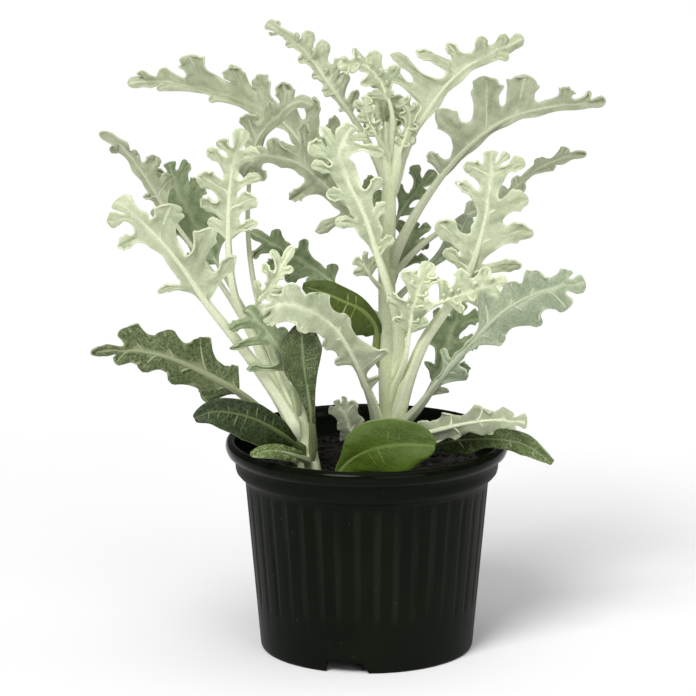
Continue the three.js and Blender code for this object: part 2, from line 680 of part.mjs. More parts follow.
    rib: [[10, 218.5, 3], [10.5, 230, 1], [7, 241, -2], [2, 248.5, -4], [-5, 252, -7], [-12, 250, -10]],
    lobes: [[12, 250, 0], [-3, 243, -2], [-2, 237.5, 0, 4], [-6, 258, 2], [4, 257, 2]],
  },
  {
    name: "high_right_leaf", from: "right", width: 6.5, tip: 6, stalk: 2.4, cut: 0.45, web: 3,
    rib: [
      [11.5, 203, 12], [15, 212, 16], [20, 223, 20], [25.5, 232, 24], [33, 242.5, 30], [42, 250.5, 35],
      [52, 256, 39], [65, 262.5, 41],
    ],
    lobes: [
      [46.5, 262.5, 0, 6, 0.2], [56.5, 263.5, 0, 4], [58.5, 253.5, 0, 4, 0.9], [33, 260, 2, 5, -0.1],
      [20, 257, 2, 5, -0.35], [9.5, 255.5, 2, 5, 0], [6.5, 248, 1, 5, 0], [0, 236.5, 1, 5, -0.1],
    ],
  },
  {
    name: "wide_right_leaf", from: "right", width: 9, tip: 5, stalk: 2.3, cut: 0.5, cup: 0.2, web:
    2.6, whole: 0.74, lean: 0.6,
    rib: [
      [11.5, 172, 6], [17, 181, 2], [22, 190, 0], [33, 206, -4], [43, 217, -7], [58, 228, -9],
      [78, 233.5, -10], [99.5, 236, -10],
    ],
    lobes: [
      [26, 214, 2, 6, 0.1], [29.5, 231.5, 3, 10, -0.05], [49.5, 246.5, 3, 13, 0.5],
      [66, 247, 3, 13, 0.5], [84, 242, 2, 7], [93, 240, 2, 4],
    ],
  },
  {
    name: "edge_on_right_leaf", from: "right", width: 5, tip: 3.5, stalk: 1.5, cut: 0.5, cup: 0,
    web: 2.6, whole: 0.5,
    rib: [
      [11.5, 162, 14], [25, 176, 22], [42, 187, 28], [57, 194, 32], [70, 205.5, 34], [84, 212.5, 34],
      [92, 213.5, 34],
    ],
    lobes: [
      [62, 203.5, 4], [72, 211, 4], [83, 216, 3], [66, 198.5, -4], [78, 206, -4], [56, 199, 4],
      [58, 190, -4], [44, 193, 4],
    ],
  },
  {
    name: "round_back_leaf", look: "green", from: "right", stalk: 1.2, cup: 0.1, roll: 10,
    rib: [[12, 150, 14], [24, 163, 16], [36, 175, 17], [43, 188, 17]],
    halves: [[0.5, 1.8, 1.8], [0.66, 4, 4], [0.82, 6, 6], [0.94, 4, 4]],
  },
  {
    name: "curly_leaf", from: "right", width: 7, tip: 7, stalk: 1.5, cut: 0.55, cup: 0.3, web: 3,
    rib: [
      [13.5, 112, 1], [16, 124, -6], [18, 138, -12], [20, 149, -16], [23, 159, -17], [27, 167, -16],
    ],
    lobes: [
      [15, 163, -1, 6], [31, 159, 0, 5], [28, 149, -5, 5], [9, 153, 0, 6], [11, 143, 0, 5],
      [26, 141, 0, 5],
    ],
  },
  {
    name: "curly_right_leaf", from: "right", width: 7, tip: 6, stalk: 1.4, cut: 0.55, cup: 0.2, web:
    3,
    rib: [
      [15, 134, 10], [21, 142, -4], [26, 147, -14], [33, 150.5, -22], [41, 153.5, -26],
      [50, 156.5, -28], [59, 159, -29],
    ],
    lobes: [
      [40, 164, 0], [50, 165, 0, 6], [57, 151, -1, 5], [33, 159, 0], [48, 148, 0, 5], [41, 145, 0, 5],
    ],
  },
  {
    name: "low_stem_leaf", from: "right", width: 5, tip: 6, stalk: 1.2, cut: 0.5, web: 2,
    rib: [[5, 155, 3], [2, 160, -3], [-1, 165, -7], [-5, 169, -9]],
    lobes: [[-6, 162, 0], [4, 168, 0], [-1, 172, 0]],
  },
  {
    name: "grey_upper_leaf", look: "grey", from: "right", width: 6, tip: 6, stalk: 1.2, cut: 0.5,
    web: 3,
    rib: [[5, 176, 14], [1, 185, 22], [-3, 194, 26], [-6, 203, 28]],
    lobes: [[-12, 197, 0], [-9, 188, 0], [4, 203, 0], [6, 196, 0, 5]],
  },
  {
    name: "small_back_leaf", look: "grey", from: "right", width: 5, tip: 5, stalk: 1.1, cut: 0.45,
    rib: [[11, 156, 15], [14, 166, 22], [17, 175, 26], [21, 184, 28]],
    lobes: [[26, 174, 0], [26, 168, 0], [10, 176, 0], [13, 184, 0], [27, 182, 0]],
  },
  {
    name: "dark_back_leaf", look: "grey", from: "right", width: 5, tip: 5, stalk: 1.2, cut: 0.4,
    rib: [[11, 182, 14], [15, 190, 20], [20, 197, 24], [29, 206, 26]],
    lobes: [[12, 200, 0], [19, 208, 0], [27, 195, 0], [22, 188, 0, 4]],
  },
];

// ---------------------------------------------------------------- pot and soil

function solidOf(geometry) {
  const bare = geometry.clone();
  bare.deleteAttribute("normal");
  bare.deleteAttribute("uv");
  const merged = mergeVertices(bare, 1e-4);
  return new wasm.Manifold(
    new wasm.Mesh({
      numProp: 3,
      vertProperties: new Float32Array(merged.attributes.position.array),
      triVerts: new Uint32Array(merged.index.array),
    }),
  );
}

function geometryOf(solid) {
  const mesh = solid.getMesh();
  return new THREE.BufferGeometry()
    .setAttribute("position", new THREE.Float32BufferAttribute(mesh.vertProperties, 3))
    .setIndex(Array.from(mesh.triVerts));
}

// Turns a closed profile of [radius, height, flute depth] about Z, with a shallow groove at every second
// step.
function turned(profile, around) {
  const n = profile.length;
  const xyz = [];
  const index = [];
  for (let s = 0; s < around; s += 1) {
    const turn = (s / around) * 2 * Math.PI;
    for (const [radius, z, dip = 0] of profile) {
      const r = radius - (s % 2 ? dip : 0);
      xyz.push(r * Math.cos(turn), r * Math.sin(turn), z);
    }
  }
  for (let s = 0; s < around; s += 1) {
    const a = s * n;
    const b = ((s + 1) % around) * n;
    for (let k = 0; k < n; k += 1) {
      const next = (k + 1) % n;
      index.push(a + k, b + k, b + next, a + k, b + next, a + next);
    }
  }
  return new THREE.BufferGeometry()
    .setAttribute("position", new THREE.Float32BufferAttribute(xyz, 3))
    .setIndex(index);
}

function pot() {
  const side = (z) => THREE.MathUtils.lerp(45.4, 51.7, (z - 2.6) / (73.5 - 2.6));
  const steps = 2 * FLUTES;
  const wall = [
    [FOOT_RADIUS - 3.4, 0],
    [FOOT_RADIUS - 0.6, 0],
    [side(2.6), 2.6],
    [side(20), 20],
    [side(24), 24, FLUTE_DEPTH],
    [side(70), 70, FLUTE_DEPTH],
    [side(73.5), 73.5],
    [54.6, 76.2],
    [55.8, 79],
    [55.8, 83],
    [59.2, 85.2],
    [LIP_RADIUS, 88],
    [59.4, 90.2],
    [57.8, POT_HEIGHT],
    [56, 90],
    [55.8 - WALL, 84.6],
    [55.8 - WALL, 79.4],
    [side(73.5) - WALL, 75],
    [side(20) - WALL, 20],
    [side(8) - WALL, 8],
    [FOOT_RADIUS - WALL - 0.6, BASE_LIFT + WALL],
  ];
  const shell = solidOf(turned(wall.concat([[FOOT_RADIUS - 3.4, BASE_LIFT + 0.4]]), steps));
  const plate = new THREE.CylinderGeometry(42.6, 42.6, WALL, steps).rotateX(Math.PI / 2).rotateZ(0.01);
  let body = shell.add(solidOf(plate.translate(0, 0, BASE_LIFT + WALL / 2)));
  for (let k = 0; k < NOTCHES; k += 1) {
    const outline = new THREE.Shape([
      new THREE.Vector2(-NOTCH_WIDTH / 2, -1),
      new THREE.Vector2(NOTCH_WIDTH / 2 + 1, -1),
      new THREE.Vector2(NOTCH_WIDTH / 2 - 3, NOTCH_HEIGHT),
      new THREE.Vector2(-NOTCH_WIDTH / 2 + 1, NOTCH_HEIGHT),
    ]);
    const cut = new THREE.ExtrudeGeometry(outline, { depth: 14, bevelEnabled: false });
    // the cutter runs inwards to outwards along the radius of its notch
    const out = rad(NOTCH_TURN + 120 * k);
    cut.rotateX(Math.PI / 2).translate(0, 14, 0).rotateZ(out - Math.PI / 2);
    cut.translate(36 * Math.cos(out), 36 * Math.sin(out), 0);
    body = body.subtract(solidOf(cut));
  }
  return geometryOf(body);
}

// plain holes in the soil: x, y, radius and depth
const HOLES = [
  [-24, -15, 5.3, 22.5],
  [10.5, 9, 4.7, 22.5],
  [-14.7, -40.6, 2.9, 5.5],
];

function soil() {
  const profile = [
    [0, BASE_LIFT + WALL + GAP],
    [42.4, BASE_LIFT + WALL + GAP],
    [44, 8.6],
    [45.1, 20],
    [49.8, 74.6],
    [51.4, SOIL_LEVEL - 1],
    [40, SOIL_LEVEL],
    [0, SOIL_LEVEL + 1],
  ];
  const points = profile.map(([r, z]) => new THREE.Vector2(r, z));
  let body = solidOf(new THREE.LatheGeometry(points, 38).rotateX(Math.PI / 2));
  for (const [x, y, r, depth] of HOLES) {
    const hole = new THREE.CylinderGeometry(r, r, 2 * depth, 12);
    hole.rotateX(Math.PI / 2).translate(x, y, SOIL_LEVEL);
    body = body.subtract(solidOf(hole));
  }
  return geometryOf(body);
}

// ---------------------------------------------------------------- the whole

const LOOKS = {
  pot: [0x1c1e1a, 0.45],
  soil: [0x3a2c20, 0.95],
  stem: [0xdfe6cc, 0.9],
  felt: [0xc4cfba, 0.92],
  grey: [0x8f9c80, 0.92],
  old: [0xa3b092, 0.9],
  green: [0x4d6a26, 0.5],
};

const dustyMiller = new THREE.Group();
dustyMiller.name = "dusty_miller";

function put(name, look, geometry) {
  const [color, roughness] = LOOKS[look];
  const material = new THREE.MeshStandardMaterial({ color, roughness, metalness: 0 });
  const mesh = new THREE.Mesh(geometry, material);
  mesh.name = name;
  dustyMiller.add(mesh);
}

put("pot", "pot", pot());
put("soil", "soil", soil());
put("left_stem", "stem", stem(LEFT_STEM));
put("right_stem", "stem", stem(RIGHT_STEM));
for (const leaf of LEAVES) {
  const solid = leaf.lobes ? lobedLeaf(leaf) : plainLeaf(leaf);
  put(leaf.name, leaf.look ?? "felt", solid);
}

// the origin is on the floor, under the middle of the whole
const middle = new THREE.Box3().setFromObject(dustyMiller).getCenter(vec(0, 0, 0));
dustyMiller.position.set(-middle.x, -middle.y, 0);

export default dustyMiller;
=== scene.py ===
# %% [markdown]
# # A dusty miller in its nursery pot
# The object is a young dusty miller: two plants with silver, deeply lobed leaves in a round black plastic
# pot. The solid model gives every leaf, stem and the pot their size and place. This script keeps those places
# and builds the fine surfaces: waved lobes with raised veins, woolly felt, crumbly soil and moulded plastic.

# %% Load the solid model
import math
import random
from types import SimpleNamespace
import bpy
import numpy as np
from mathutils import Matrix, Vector


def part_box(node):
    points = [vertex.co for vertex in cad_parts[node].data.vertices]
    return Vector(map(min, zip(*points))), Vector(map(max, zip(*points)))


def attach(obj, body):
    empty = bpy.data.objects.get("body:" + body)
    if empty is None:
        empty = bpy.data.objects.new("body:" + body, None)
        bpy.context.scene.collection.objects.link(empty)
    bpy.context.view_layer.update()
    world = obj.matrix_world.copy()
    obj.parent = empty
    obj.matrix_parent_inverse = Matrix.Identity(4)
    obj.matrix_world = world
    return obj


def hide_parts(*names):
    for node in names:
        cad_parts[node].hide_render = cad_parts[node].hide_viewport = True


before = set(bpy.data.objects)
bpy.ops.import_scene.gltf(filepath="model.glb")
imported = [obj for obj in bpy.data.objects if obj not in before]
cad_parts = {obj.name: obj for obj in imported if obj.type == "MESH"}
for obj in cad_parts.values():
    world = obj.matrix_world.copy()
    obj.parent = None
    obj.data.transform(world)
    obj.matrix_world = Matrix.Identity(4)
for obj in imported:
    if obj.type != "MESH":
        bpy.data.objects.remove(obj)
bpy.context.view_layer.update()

# %% [markdown]
# All sizes below are in millimetres, measured from the middle of the pot on the floor, because a plant is
# easy to think about that way. One offset, the pot's own centre, carries them into the shared frame in
# metres.

# %% The shared frame
POT_LOW, POT_HIGH = [np.array(v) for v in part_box("pot")]
SHIFT = np.array([(POT_LOW[0] + POT_HIGH[0]) / 2, (POT_LOW[1] + POT_HIGH[1]) / 2, 0.0])


def metres(points):
    """Millimetres about the pot's axis, as metres in the shared frame."""
    return np.asarray(points, float) / 1000.0 + SHIFT


print("pot centre", SHIFT.round(4))

# %% [markdown]
# The leaves are laid out as they stand before a standing eye, two metres away and a little above. A point is
# [x, z, y]: across, up, and how deep it lies. A deeper point slides along its own line of sight, so the front
# view keeps its drawing while every leaf gets its own depth.

# %% Points on lines of sight
EYE = np.array([-8.0, -2000.0, 610.0])


def at(p):
    """The place of [x, z, y] on its line of sight."""
    x, z, y = p
    flat = np.array([x, 0.0, z])
    return EYE + (flat - EYE) * (y - EYE[1]) / -EYE[1]


def unit(v):
    """The vector at length 1."""
    return v / max(np.linalg.norm(v), 1e-9)


print("a point 40 mm nearer the eye slides from (100, 200) to", at([100, 200, -40])[[0, 2]].round(1))

# %% [markdown]
# A midrib is a smooth line through a few points. The centripetal kind of spline doesn't overshoot where
# points lie unevenly, and walking it by its length spaces the sections of a leaf evenly.

# %% A smooth line walked by its length


def spline(points, per=24):
    """Points on the centripetal Catmull-Rom line through the given points."""
    p = [np.asarray(q, float) for q in points]
    p = [2 * p[0] - p[1]] + p + [2 * p[-1] - p[-2]]
    out = []
    for i in range(1, len(p) - 2):
        a, b, c, d = p[i - 1 : i + 3]
        da, db, dc = (max(np.linalg.norm(v) ** 0.5, 1e-4) for v in (b - a, c - b, d - c))
        m = ((b - a) / da - (c - a) / (da + db) + (c - b) / db) * db
        n = ((c - b) / db - (d - b) / (db + dc) + (d - c) / dc) * db
        for k in range(per):
            t = k / per
            out.append(b + m * t + (-3 * b + 3 * c - 2 * m - n) * t**2 + (2 * b - 2 * c + m + n) * t**3)
    return np.array(out + [p[-2]])


class Line:
    """A smooth line; t runs from 0 at its foot to 1 at its tip, by length."""

    def __init__(self, points):
        self.dots = spline(points)
        steps = np.linalg.norm(np.diff(self.dots, axis=0), axis=1)
        self.far = np.concatenate([[0], np.cumsum(steps)])
        self.length = self.far[-1]

    def point(self, t):
        s = min(max(t, 0.0), 1.0) * self.length
        return np.array([np.interp(s, self.far, self.dots[:, k]) for k in range(3)])

    def tangent(self, t):
        return unit(self.point(t + 0.01) - self.point(t - 0.01))

    def across(self, t, roll=0.0):
        """To the left of the way the line grows, turned about itself by roll degrees."""
        along = self.tangent(t)
        left = unit(-np.cross([0, 1, 0], along))
        out = -np.cross(left, along)
        return left * math.cos(math.radians(roll)) + out * math.sin(math.radians(roll))


# %% [markdown]
# Both plants have a short stem that stands in the soil. Each row of a stem is its place and its radius there.
# A leaf stalk starts against its stem: its foot is moved out from the stem's middle by the stem's radius.

# %% Stems and the feet of the stalks
STEMS = {
    "left": [(-24, -15, 56, 4.8), (-24, -15, 80, 4.8), (-28, -15, 100, 4.2), (-31, -15, 114, 3.2)],
    "right": [
        (10.5, 9, 56, 4.2), (10.5, 9, 80, 4.1), (9, 9, 110, 3.8),
        (8.5, 9, 150, 3.6), (9, 9, 185, 3.2), (10, 9, 220, 2),
    ],
}
STALK_GAP = 0.3  # between the stem's skin and a stalk's foot, mm


def stem_at(rows, z):
    """The stem's middle and radius at a height: x, y, z, radius."""
    above = [i for i, row in enumerate(rows) if row[2] >= z]
    k = max(1, above[0]) if above else len(rows) - 1
    low, high = np.array(rows[k - 1], float), np.array(rows[k], float)
    return low + (high - low) * min(1.0, (z - low[2]) / (high[2] - low[2]))


def rooted(spec):
    """The midrib's points, with the first one set against the stem."""
    points = [at(p) for p in spec["rib"]]
    if not spec["stem"]:
        return points
    foot = points[0]
    here = stem_at(STEMS[spec["stem"]], foot[2])
    out = unit(np.array([foot[0] - here[0], foot[1] - here[1], 0.0]))
    way = unit(points[1] - foot)
    room = spec["stalk"] * math.sqrt(max(0.0, 1 - float(way @ out) ** 2))
    points[0] = np.array([here[0], here[1], foot[2]]) + out * (here[3] + STALK_GAP + room)
    return points


for side_name, rows in STEMS.items():
    print(side_name, "stem from height", rows[0][2], "to", rows[-1][2])

# %% [markdown]
# The leaf table comes next. `rib` is the midrib from the foot of the stalk to the tip, as (x, z, y). A leaf
# has either lobes or a plain margin. `lobes` are the lobe tips as (x, z, depth behind the midrib, width,
# lean); the last two may be left out. `halves` are rows of (place along, half width left, half width right).
#
# A row's other values: `look` is its finish and `tone` makes that lighter or darker, partly as the leaf's
# own colour and partly as painted shade on leaves in shade and painted light on leaves in the light;
# `width` is the usual width of a lobe and `tip` of the leaf's end; `stalk` is the half thickness of the
# stalk; `cut` is how far the blade reaches into the lobes and `web` how wide it is between them; from
# `whole` on, lobes share their blade; `lean` is how far lobes point forward; `cup` and `roll` bend and
# turn the blade; `calm` lowers its waves; `frill` is the spacing of rolled lobes on the youngest leaves.

# %% The leaf table
LEAVES = []


def leaf(name, stem, **row):
    """Add a leaf that grows from a stem; with no stem it comes straight out of the soil."""
    LEAVES.append({"name": name + "_leaf", "stem": stem, **row})


# the left plant
leaf("left_broad", "left", tone=0.95, width=11, tip=11, stalk=2.8, cut=0.34, web=4, cup=0.1,
     rib=[(-31, 97, -21), (-40, 112, -24), (-55, 133, -32), (-68, 150, -40), (-80, 168, -47), (-93, 183, -50),
          (-106, 193, -50)],
     lobes=[(-109, 185, 0, 7), (-105, 173.5, 2, 6), (-88, 154, 2, 3.5), (-82, 192, -2, 12),
            (-65, 182, -3, 10), (-55, 170, -2, 6)])
leaf("upright_left", "left", tone=1.04, width=7.5, tip=9, stalk=2.2, cut=0.35, web=2.6,
     rib=[(-35, 107.5, -15.5), (-46, 130, -14), (-55, 150, -12), (-58, 170, -12), (-58, 190, -12),
          (-56, 210, -14), (-52, 224, -16)],
     lobes=[(-62, 219.5, 0), (-67, 215, -2, 5), (-71, 204, 0, 8), (-70, 194, 2), (-46, 194, -2),
            (-46, 184, 0, 5), (-44.5, 203, 1, 4), (-45, 213, -1, 6), (-66, 184, 3, 5)])
leaf("hooked", "left", tone=0.72, width=8, tip=5, stalk=1.4, cut=0.45, web=3, whole=0.8,
     rib=[(-31, 107, -10), (-36, 120, -4), (-42, 137, -2), (-48, 160, -2), (-50, 190, 0), (-46, 219, 2),
          (-38, 229, 2), (-29, 235.5, 1), (-22, 234, 0)],
     lobes=[(-51, 230, 0, 7), (-52, 220, 2, 7), (-55, 208, 2, 4), (-33, 240, 2, 4), (-41, 236, 2, 5)])
leaf("edge_on_left", "left", tone=0.7, width=8, tip=4, stalk=1.4, cut=0.45, web=2.4, cup=0,
     rib=[(-34, 104, -12), (-45, 128, -6), (-60, 155, 2), (-78, 180, 4), (-86, 192, 4), (-94, 205, 2),
          (-104, 218, 0), (-112, 222.5, 0)],
     lobes=[(-107, 214.5, 7, 3), (-96, 213.5, 4, 5), (-89, 212, 6, 9), (-94, 195, -5, 3.5), (-82, 203, 6, 8),
            (-90, 187, 4, 5)])
leaf("grey_back", "left", look="grey", width=9, tip=9, stalk=1.3, cut=0.6, web=4.5, whole=0.5,
     rib=[(-29, 98, -10), (-37, 118, 4), (-48, 140, 14), (-64, 168, 26), (-73, 185, 32), (-80, 199, 34),
          (-83, 210, 34)],
     lobes=[(-89, 206, 0), (-74, 209, 0), (-69, 201, 0), (-62, 191, 0), (-89, 193, 2), (-84, 180, 2, 6),
            (-60, 179, 0, 6), (-78, 168, 0, 5)])
leaf("mottled_left", "left", look="old", width=12, tip=4.5, stalk=2.5, cut=0.78, whole=0.3, lean=0.7,
     cup=0.05,
     rib=[(-33, 87, -15), (-41, 97, -25), (-50, 107, -34), (-65, 117, -44), (-85, 126, -54), (-103, 129, -60),
          (-117, 128, -62)],
     lobes=[(-101, 138.5, 2), (-86, 137, 2), (-71, 134.5, 2), (-57, 122.5, 2, 7), (-106, 123.5, -2, 6),
            (-95, 121, -2, 8), (-84, 116, -2), (-70, 108, -2, 9)])
leaf("curled_young", "left", tone=1.12, width=6, tip=4, stalk=1.1, cut=0.4, frill=5,
     rib=[(-32, 105.5, -18.5), (-40, 125, -24), (-47, 148, -30), (-41, 156, -32), (-36, 165, -31),
          (-31, 174, -29)],
     lobes=[(-44, 166, -2, 4), (-31, 163, -1, 4), (-40, 172, 2, 3.5), (-47, 159, 0, 3.5),
            (-36, 155, -2, 3.5)])
leaf("small_grey", "left", look="grey", tone=1.2, width=6, tip=6, stalk=1.2, cut=0.5, web=3,
     rib=[(-29, 106, -19), (-32.5, 119, -27), (-38, 131, -33), (-44, 140, -36), (-51, 147, -37)],
     lobes=[(-58, 138, 0, 5), (-58, 129.5, 0, 4), (-51, 120.5, 0, 3.5), (-40, 147, 0, 7), (-34, 138, 0, 6)])
leaf("middle_spoon", "left", look="spoon", stalk=1.5, cup=0.15,
     rib=[(-21, 86, -22), (-23.5, 100, -28), (-25.5, 115, -33), (-27, 128, -35), (-28, 141, -35)],
     halves=[(0.3, 1.8, 1.6), (0.5, 4, 3), (0.66, 8.8, 5.5), (0.82, 9.4, 8.5), (0.94, 5.6, 6)])
leaf("rim_left", "left", look="dark", stalk=1.4, cup=0.2, roll=10,
     rib=[(-28, 85.5, -23), (-37, 93, -32), (-48, 99.5, -40), (-58, 102, -46), (-67, 102, -50),
          (-74, 98.5, -52)],
     halves=[(0.14, 2.4, 2.4), (0.3, 9, 5.5), (0.55, 10, 6.5), (0.8, 7, 6), (0.94, 3.5, 3.2)])
leaf("rim_left_low", "left", look="rimmed", stalk=1.3, cup=0.1, roll=40,
     rib=[(-25, 80, -24), (-31, 83, -33), (-39, 85, -43), (-50, 83, -54)],
     halves=[(0.25, 2.6, 2.6), (0.55, 3.6, 3.2), (0.85, 3, 3)])

# leaves low on the right plant
leaf("arched_front", "right", tone=0.9, width=11, tip=9, stalk=2.6, cut=0.72, whole=0.3, lean=0.3, cup=0.3,
     rib=[(4, 97, 4), (2, 107, -6), (-2, 117, -16), (-7, 128, -26), (-14, 139, -34), (-24, 146, -39),
          (-35, 149, -42), (-45, 146, -44)],
     lobes=[(-42, 152.5, 3, 7), (-32, 156.5, 3), (-20, 154, 3), (-8.5, 143.5, 3, 8), (8.5, 129, -2, 5),
            (5.5, 118, 2, 4), (-42, 139.5, -1, 7), (-29, 137, -1, 8), (-19, 131, -1, 8), (-13, 124, -2, 6)])
leaf("front_oval", None, look="green", stalk=1.6, cup=0.1, roll=10,
     rib=[(-15, 62.5, -40), (-13.5, 72, -41), (-8, 80, -42), (0, 85, -44), (10, 87.5, -45), (20, 88, -45),
          (30, 87, -44)],
     halves=[(0.2, 1.6, 2.4), (0.34, 4.5, 7), (0.44, 10.5, 10), (0.56, 13.5, 11.8), (0.7, 13, 12.5),
             (0.84, 10.5, 11), (0.95, 5.5, 6)])
leaf("small_toothed", "right", tone=0.72, width=4.5, tip=5, stalk=1.3, cut=0.88, whole=0.1, calm=0.6,
     rib=[(4, 83.5, 4), (-2, 84, -5), (-6, 91, -11), (-8.5, 98, -14), (-13, 107, -16)],
     lobes=[(-12.5, 96, 0), (-11, 91, 0), (-16, 103, 0), (-2, 99.5, 0), (-5, 106, 0), (-1, 94, 0),
            (-9.5, 108.5, 0)])
leaf("rim_right", "right", tone=0.8, width=12, tip=8, stalk=2.1, cut=0.92, whole=0.1, cup=0.1, calm=0.45,
     rib=[(12, 86, 2), (20, 91, -11), (32, 94.5, -22), (45, 97.5, -30), (57, 98.5, -35), (68, 97, -38)],
     lobes=[(24, 98, 0, 6), (36, 100.5, 0), (49, 103.5, 0), (60, 102.5, 0, 7), (29, 88.5, 2, 7),
            (40, 92, 2, 9), (51, 92.5, 2, 7), (62, 94.5, 1, 5)])
leaf("rim_right_low", "right", look="striped", stalk=1.3, cup=0.25, roll=20,
     rib=[(16, 83.5, 7), (27, 87.5, -3), (40, 90, -15), (53, 90.5, -23), (67, 88, -28), (80, 79, -30)],
     halves=[(0.22, 2, 3), (0.32, 3, 6.5), (0.42, 4.6, 8), (0.5, 5.3, 6.2), (0.57, 5.5, 4.9),
             (0.62, 5.6, 4.8), (0.8, 5.4, 5.8), (0.93, 2.8, 3)])
leaf("glossy_middle", "right", look="deep", stalk=1.2, cup=0.1, roll=25,
     rib=[(4, 128, 8), (3.5, 139, 4), (-2.5, 147, -1), (-12, 151.5, -6), (-28, 157, -10)],
     halves=[(0.2, 6, 3), (0.38, 12.5, 3.5), (0.58, 13.5, 5), (0.78, 8, 6), (0.92, 3.5, 3.5)])
leaf("old_right", "right", look="worn", width=12, tip=9, stalk=2.5, cut=0.72, whole=0.5, lean=0.6, cup=0.05,
     rib=[(17, 95, 2), (22, 104, -6), (33, 119, -18), (44, 132, -28), (58, 146, -38), (75, 155, -46),
          (92, 158.5, -50)],
     lobes=[(49, 154, 2, 8), (61, 158.5, 2, 9), (72, 163, 2), (84, 163.5, 1, 9), (84, 147.5, -2),
            (74, 140, -2, 8), (58, 133, -2, 8), (43, 118, 0, 9), (34, 111, 0, 3.5), (32, 129, 2, 4)])
leaf("grey_right", "right", look="grey", width=7, tip=8, stalk=1.6, cut=0.5, web=3.4,
     rib=[(15, 94, 17), (24, 107, 24), (31, 122, 30), (36, 138, 34), (40, 150, 36)],
     lobes=[(48, 143, 0), (47, 132, 0), (44, 121, 0, 6), (28, 146, 0), (25, 136, 0), (24, 124, 0, 5)])
leaf("oak", "right", tone=0.96, width=10, tip=9, stalk=3.0, cut=0.4, web=4, cup=0.25,
     rib=[(15.5, 104, 3), (19, 120, -2), (25, 134, -8), (33, 146, -14), (41, 158, -18), (47, 175, -21),
          (51, 195, -22), (52.5, 215, -20)],
     lobes=[(29, 184, 4, 11), (36.5, 201, 4, 5), (42, 209, 3, 6), (59, 213, 3, 5), (66, 209, 3, 6),
            (67.5, 194, 3, 9), (69.5, 180, 3, 9), (65, 166, 3, 6), (33, 172, 3, 6)])

# leaves high on the right plant
leaf("bright", "right", tone=1.06, width=8, tip=8, stalk=2.6, cut=0.42, web=4.5,
     rib=[(14.5, 124, 4), (13, 139, -3), (9, 155, -8), (4, 171, -12), (-1, 187, -15), (-8, 202, -18),
          (-12, 215, -19), (-5, 225.5, -18)],
     lobes=[(-25, 218, -2, 8), (-19.5, 224.5, 2, 4), (-23, 208, -1, 5), (-17, 196, 0, 6), (-12, 184, 0, 5),
            (7, 213.5, 2, 7), (0, 220, 1, 5), (6, 203, 2, 5), (8, 192, 1, 5), (11, 178, 1, 5)])
leaf("dark_underside", "right", tone=0.72, width=8, tip=6, stalk=1.9, cut=0.45, web=3.5,
     rib=[(3, 180, 8), (-4, 187.5, 6), (-12, 194, 4), (-24, 206, 0), (-36, 212, -2), (-46, 212, -3),
          (-52, 204, -3)],
     lobes=[(-40, 220, 0, 7), (-26, 227, 2, 6), (-43, 202, 0, 6), (-33, 194, 0, 7), (-22, 180, 0, 5),
            (-11, 182, 0, 5), (-15, 210, 2, 5)])
leaf("back_middle", "right", look="grey", width=6, tip=5, stalk=1.4, cut=0.5, web=3,
     rib=[(3, 144, 14), (-8, 152, 20), (-20, 163, 25), (-33, 171, 28), (-49, 180, 30)],
     lobes=[(-25, 157, 0), (-34, 159, 0), (-42, 164, 0), (-49, 169, 0, 4), (-14, 166, 3), (-26, 177, 3),
            (-38, 181, 3, 5)])
leaf("high_left", "right", tone=0.84, width=11, tip=4.5, stalk=2.2, cut=0.45, web=2.4, whole=0.42, lean=0.95,
     cup=0.1,
     rib=[(5, 184, 14), (-6, 196, 20), (-20, 208, 26), (-36, 228, 32), (-52, 235, 37), (-74, 242, 42),
          (-90, 244.5, 45), (-100, 243, 46)],
     lobes=[(-13.5, 230, 2, 6), (-22, 238, 2, 7), (-35, 244, 2, 9), (-46, 247, 2, 10), (-57, 251.5, 2, 11),
            (-75, 255, 0, 12), (-86, 249.5, 0, 7), (-94, 248, 0, 4), (-66, 235.5, -2, 5), (-87, 240, -2, 4),
            (-49, 226, 3, 7), (-40, 216, 3, 6)])
leaf("tall_top", "right", tone=0.84, width=7, tip=5.5, stalk=1.9, cut=0.5, web=2.4, whole=0.5, frill=9,
     rib=[(5, 208, 7), (2.5, 214, 5), (-2, 222, 2), (-7.5, 231, 0), (-14.5, 241, -3), (-21.5, 251, -4),
          (-29, 259.5, -5), (-42, 268.5, -4)],
     lobes=[(-39, 264, 0, 4), (-34, 259.5, 0, 4), (-29, 253, 0, 5), (-23, 246.5, 0, 4), (-19, 240, 0, 3.5),
            (-24, 264, 2, 6), (-17.5, 260, 2, 6), (-10, 253.5, 2, 4), (-8, 247.5, 2, 5),
            (-4, 240.5, 2, 5, 0.6)])
leaf("tip_left", "right", width=5, tip=4.5, stalk=1.3, cut=0.5, web=2, frill=3.4,
     rib=[(8, 212, 2), (4, 221, -5), (0, 230, -7), (-1, 238, -7)],
     lobes=[(-5, 235, 0), (-4, 229, 0), (-1, 223, 0), (6, 228, -2, 4)])
leaf("tip_right", "right", width=5, tip=5, stalk=1.3, cut=0.5, web=2, frill=3.8,
     rib=[(13, 212, 6), (16, 221, 6), (18, 229, 6), (14, 237, 4)],
     lobes=[(22, 234, 0), (22, 226, 0), (13, 230, 2, 4), (20, 219, 1, 3.5)])
leaf("tip_back", "right", width=5, tip=5, stalk=1.3, cut=0.5, web=2, frill=4,
     rib=[(9, 211, 13), (9, 222, 14), (7, 232, 14), (9, 241, 13)],
     lobes=[(1, 232, 0), (2, 239, 0), (15, 237, 0), (15, 228, 0)])
leaf("top_curl", "right", width=5.5, tip=5, stalk=1.3, cut=0.5, web=2.2, frill=5,
     rib=[(10, 218.5, 3), (10.5, 230, 1), (7, 241, -2), (2, 248.5, -4), (-5, 252, -7), (-12, 250, -10)],
     lobes=[(12, 250, 0), (-3, 243, -2), (-2, 237.5, 0, 4), (-6, 258, 2), (4, 257, 2)])
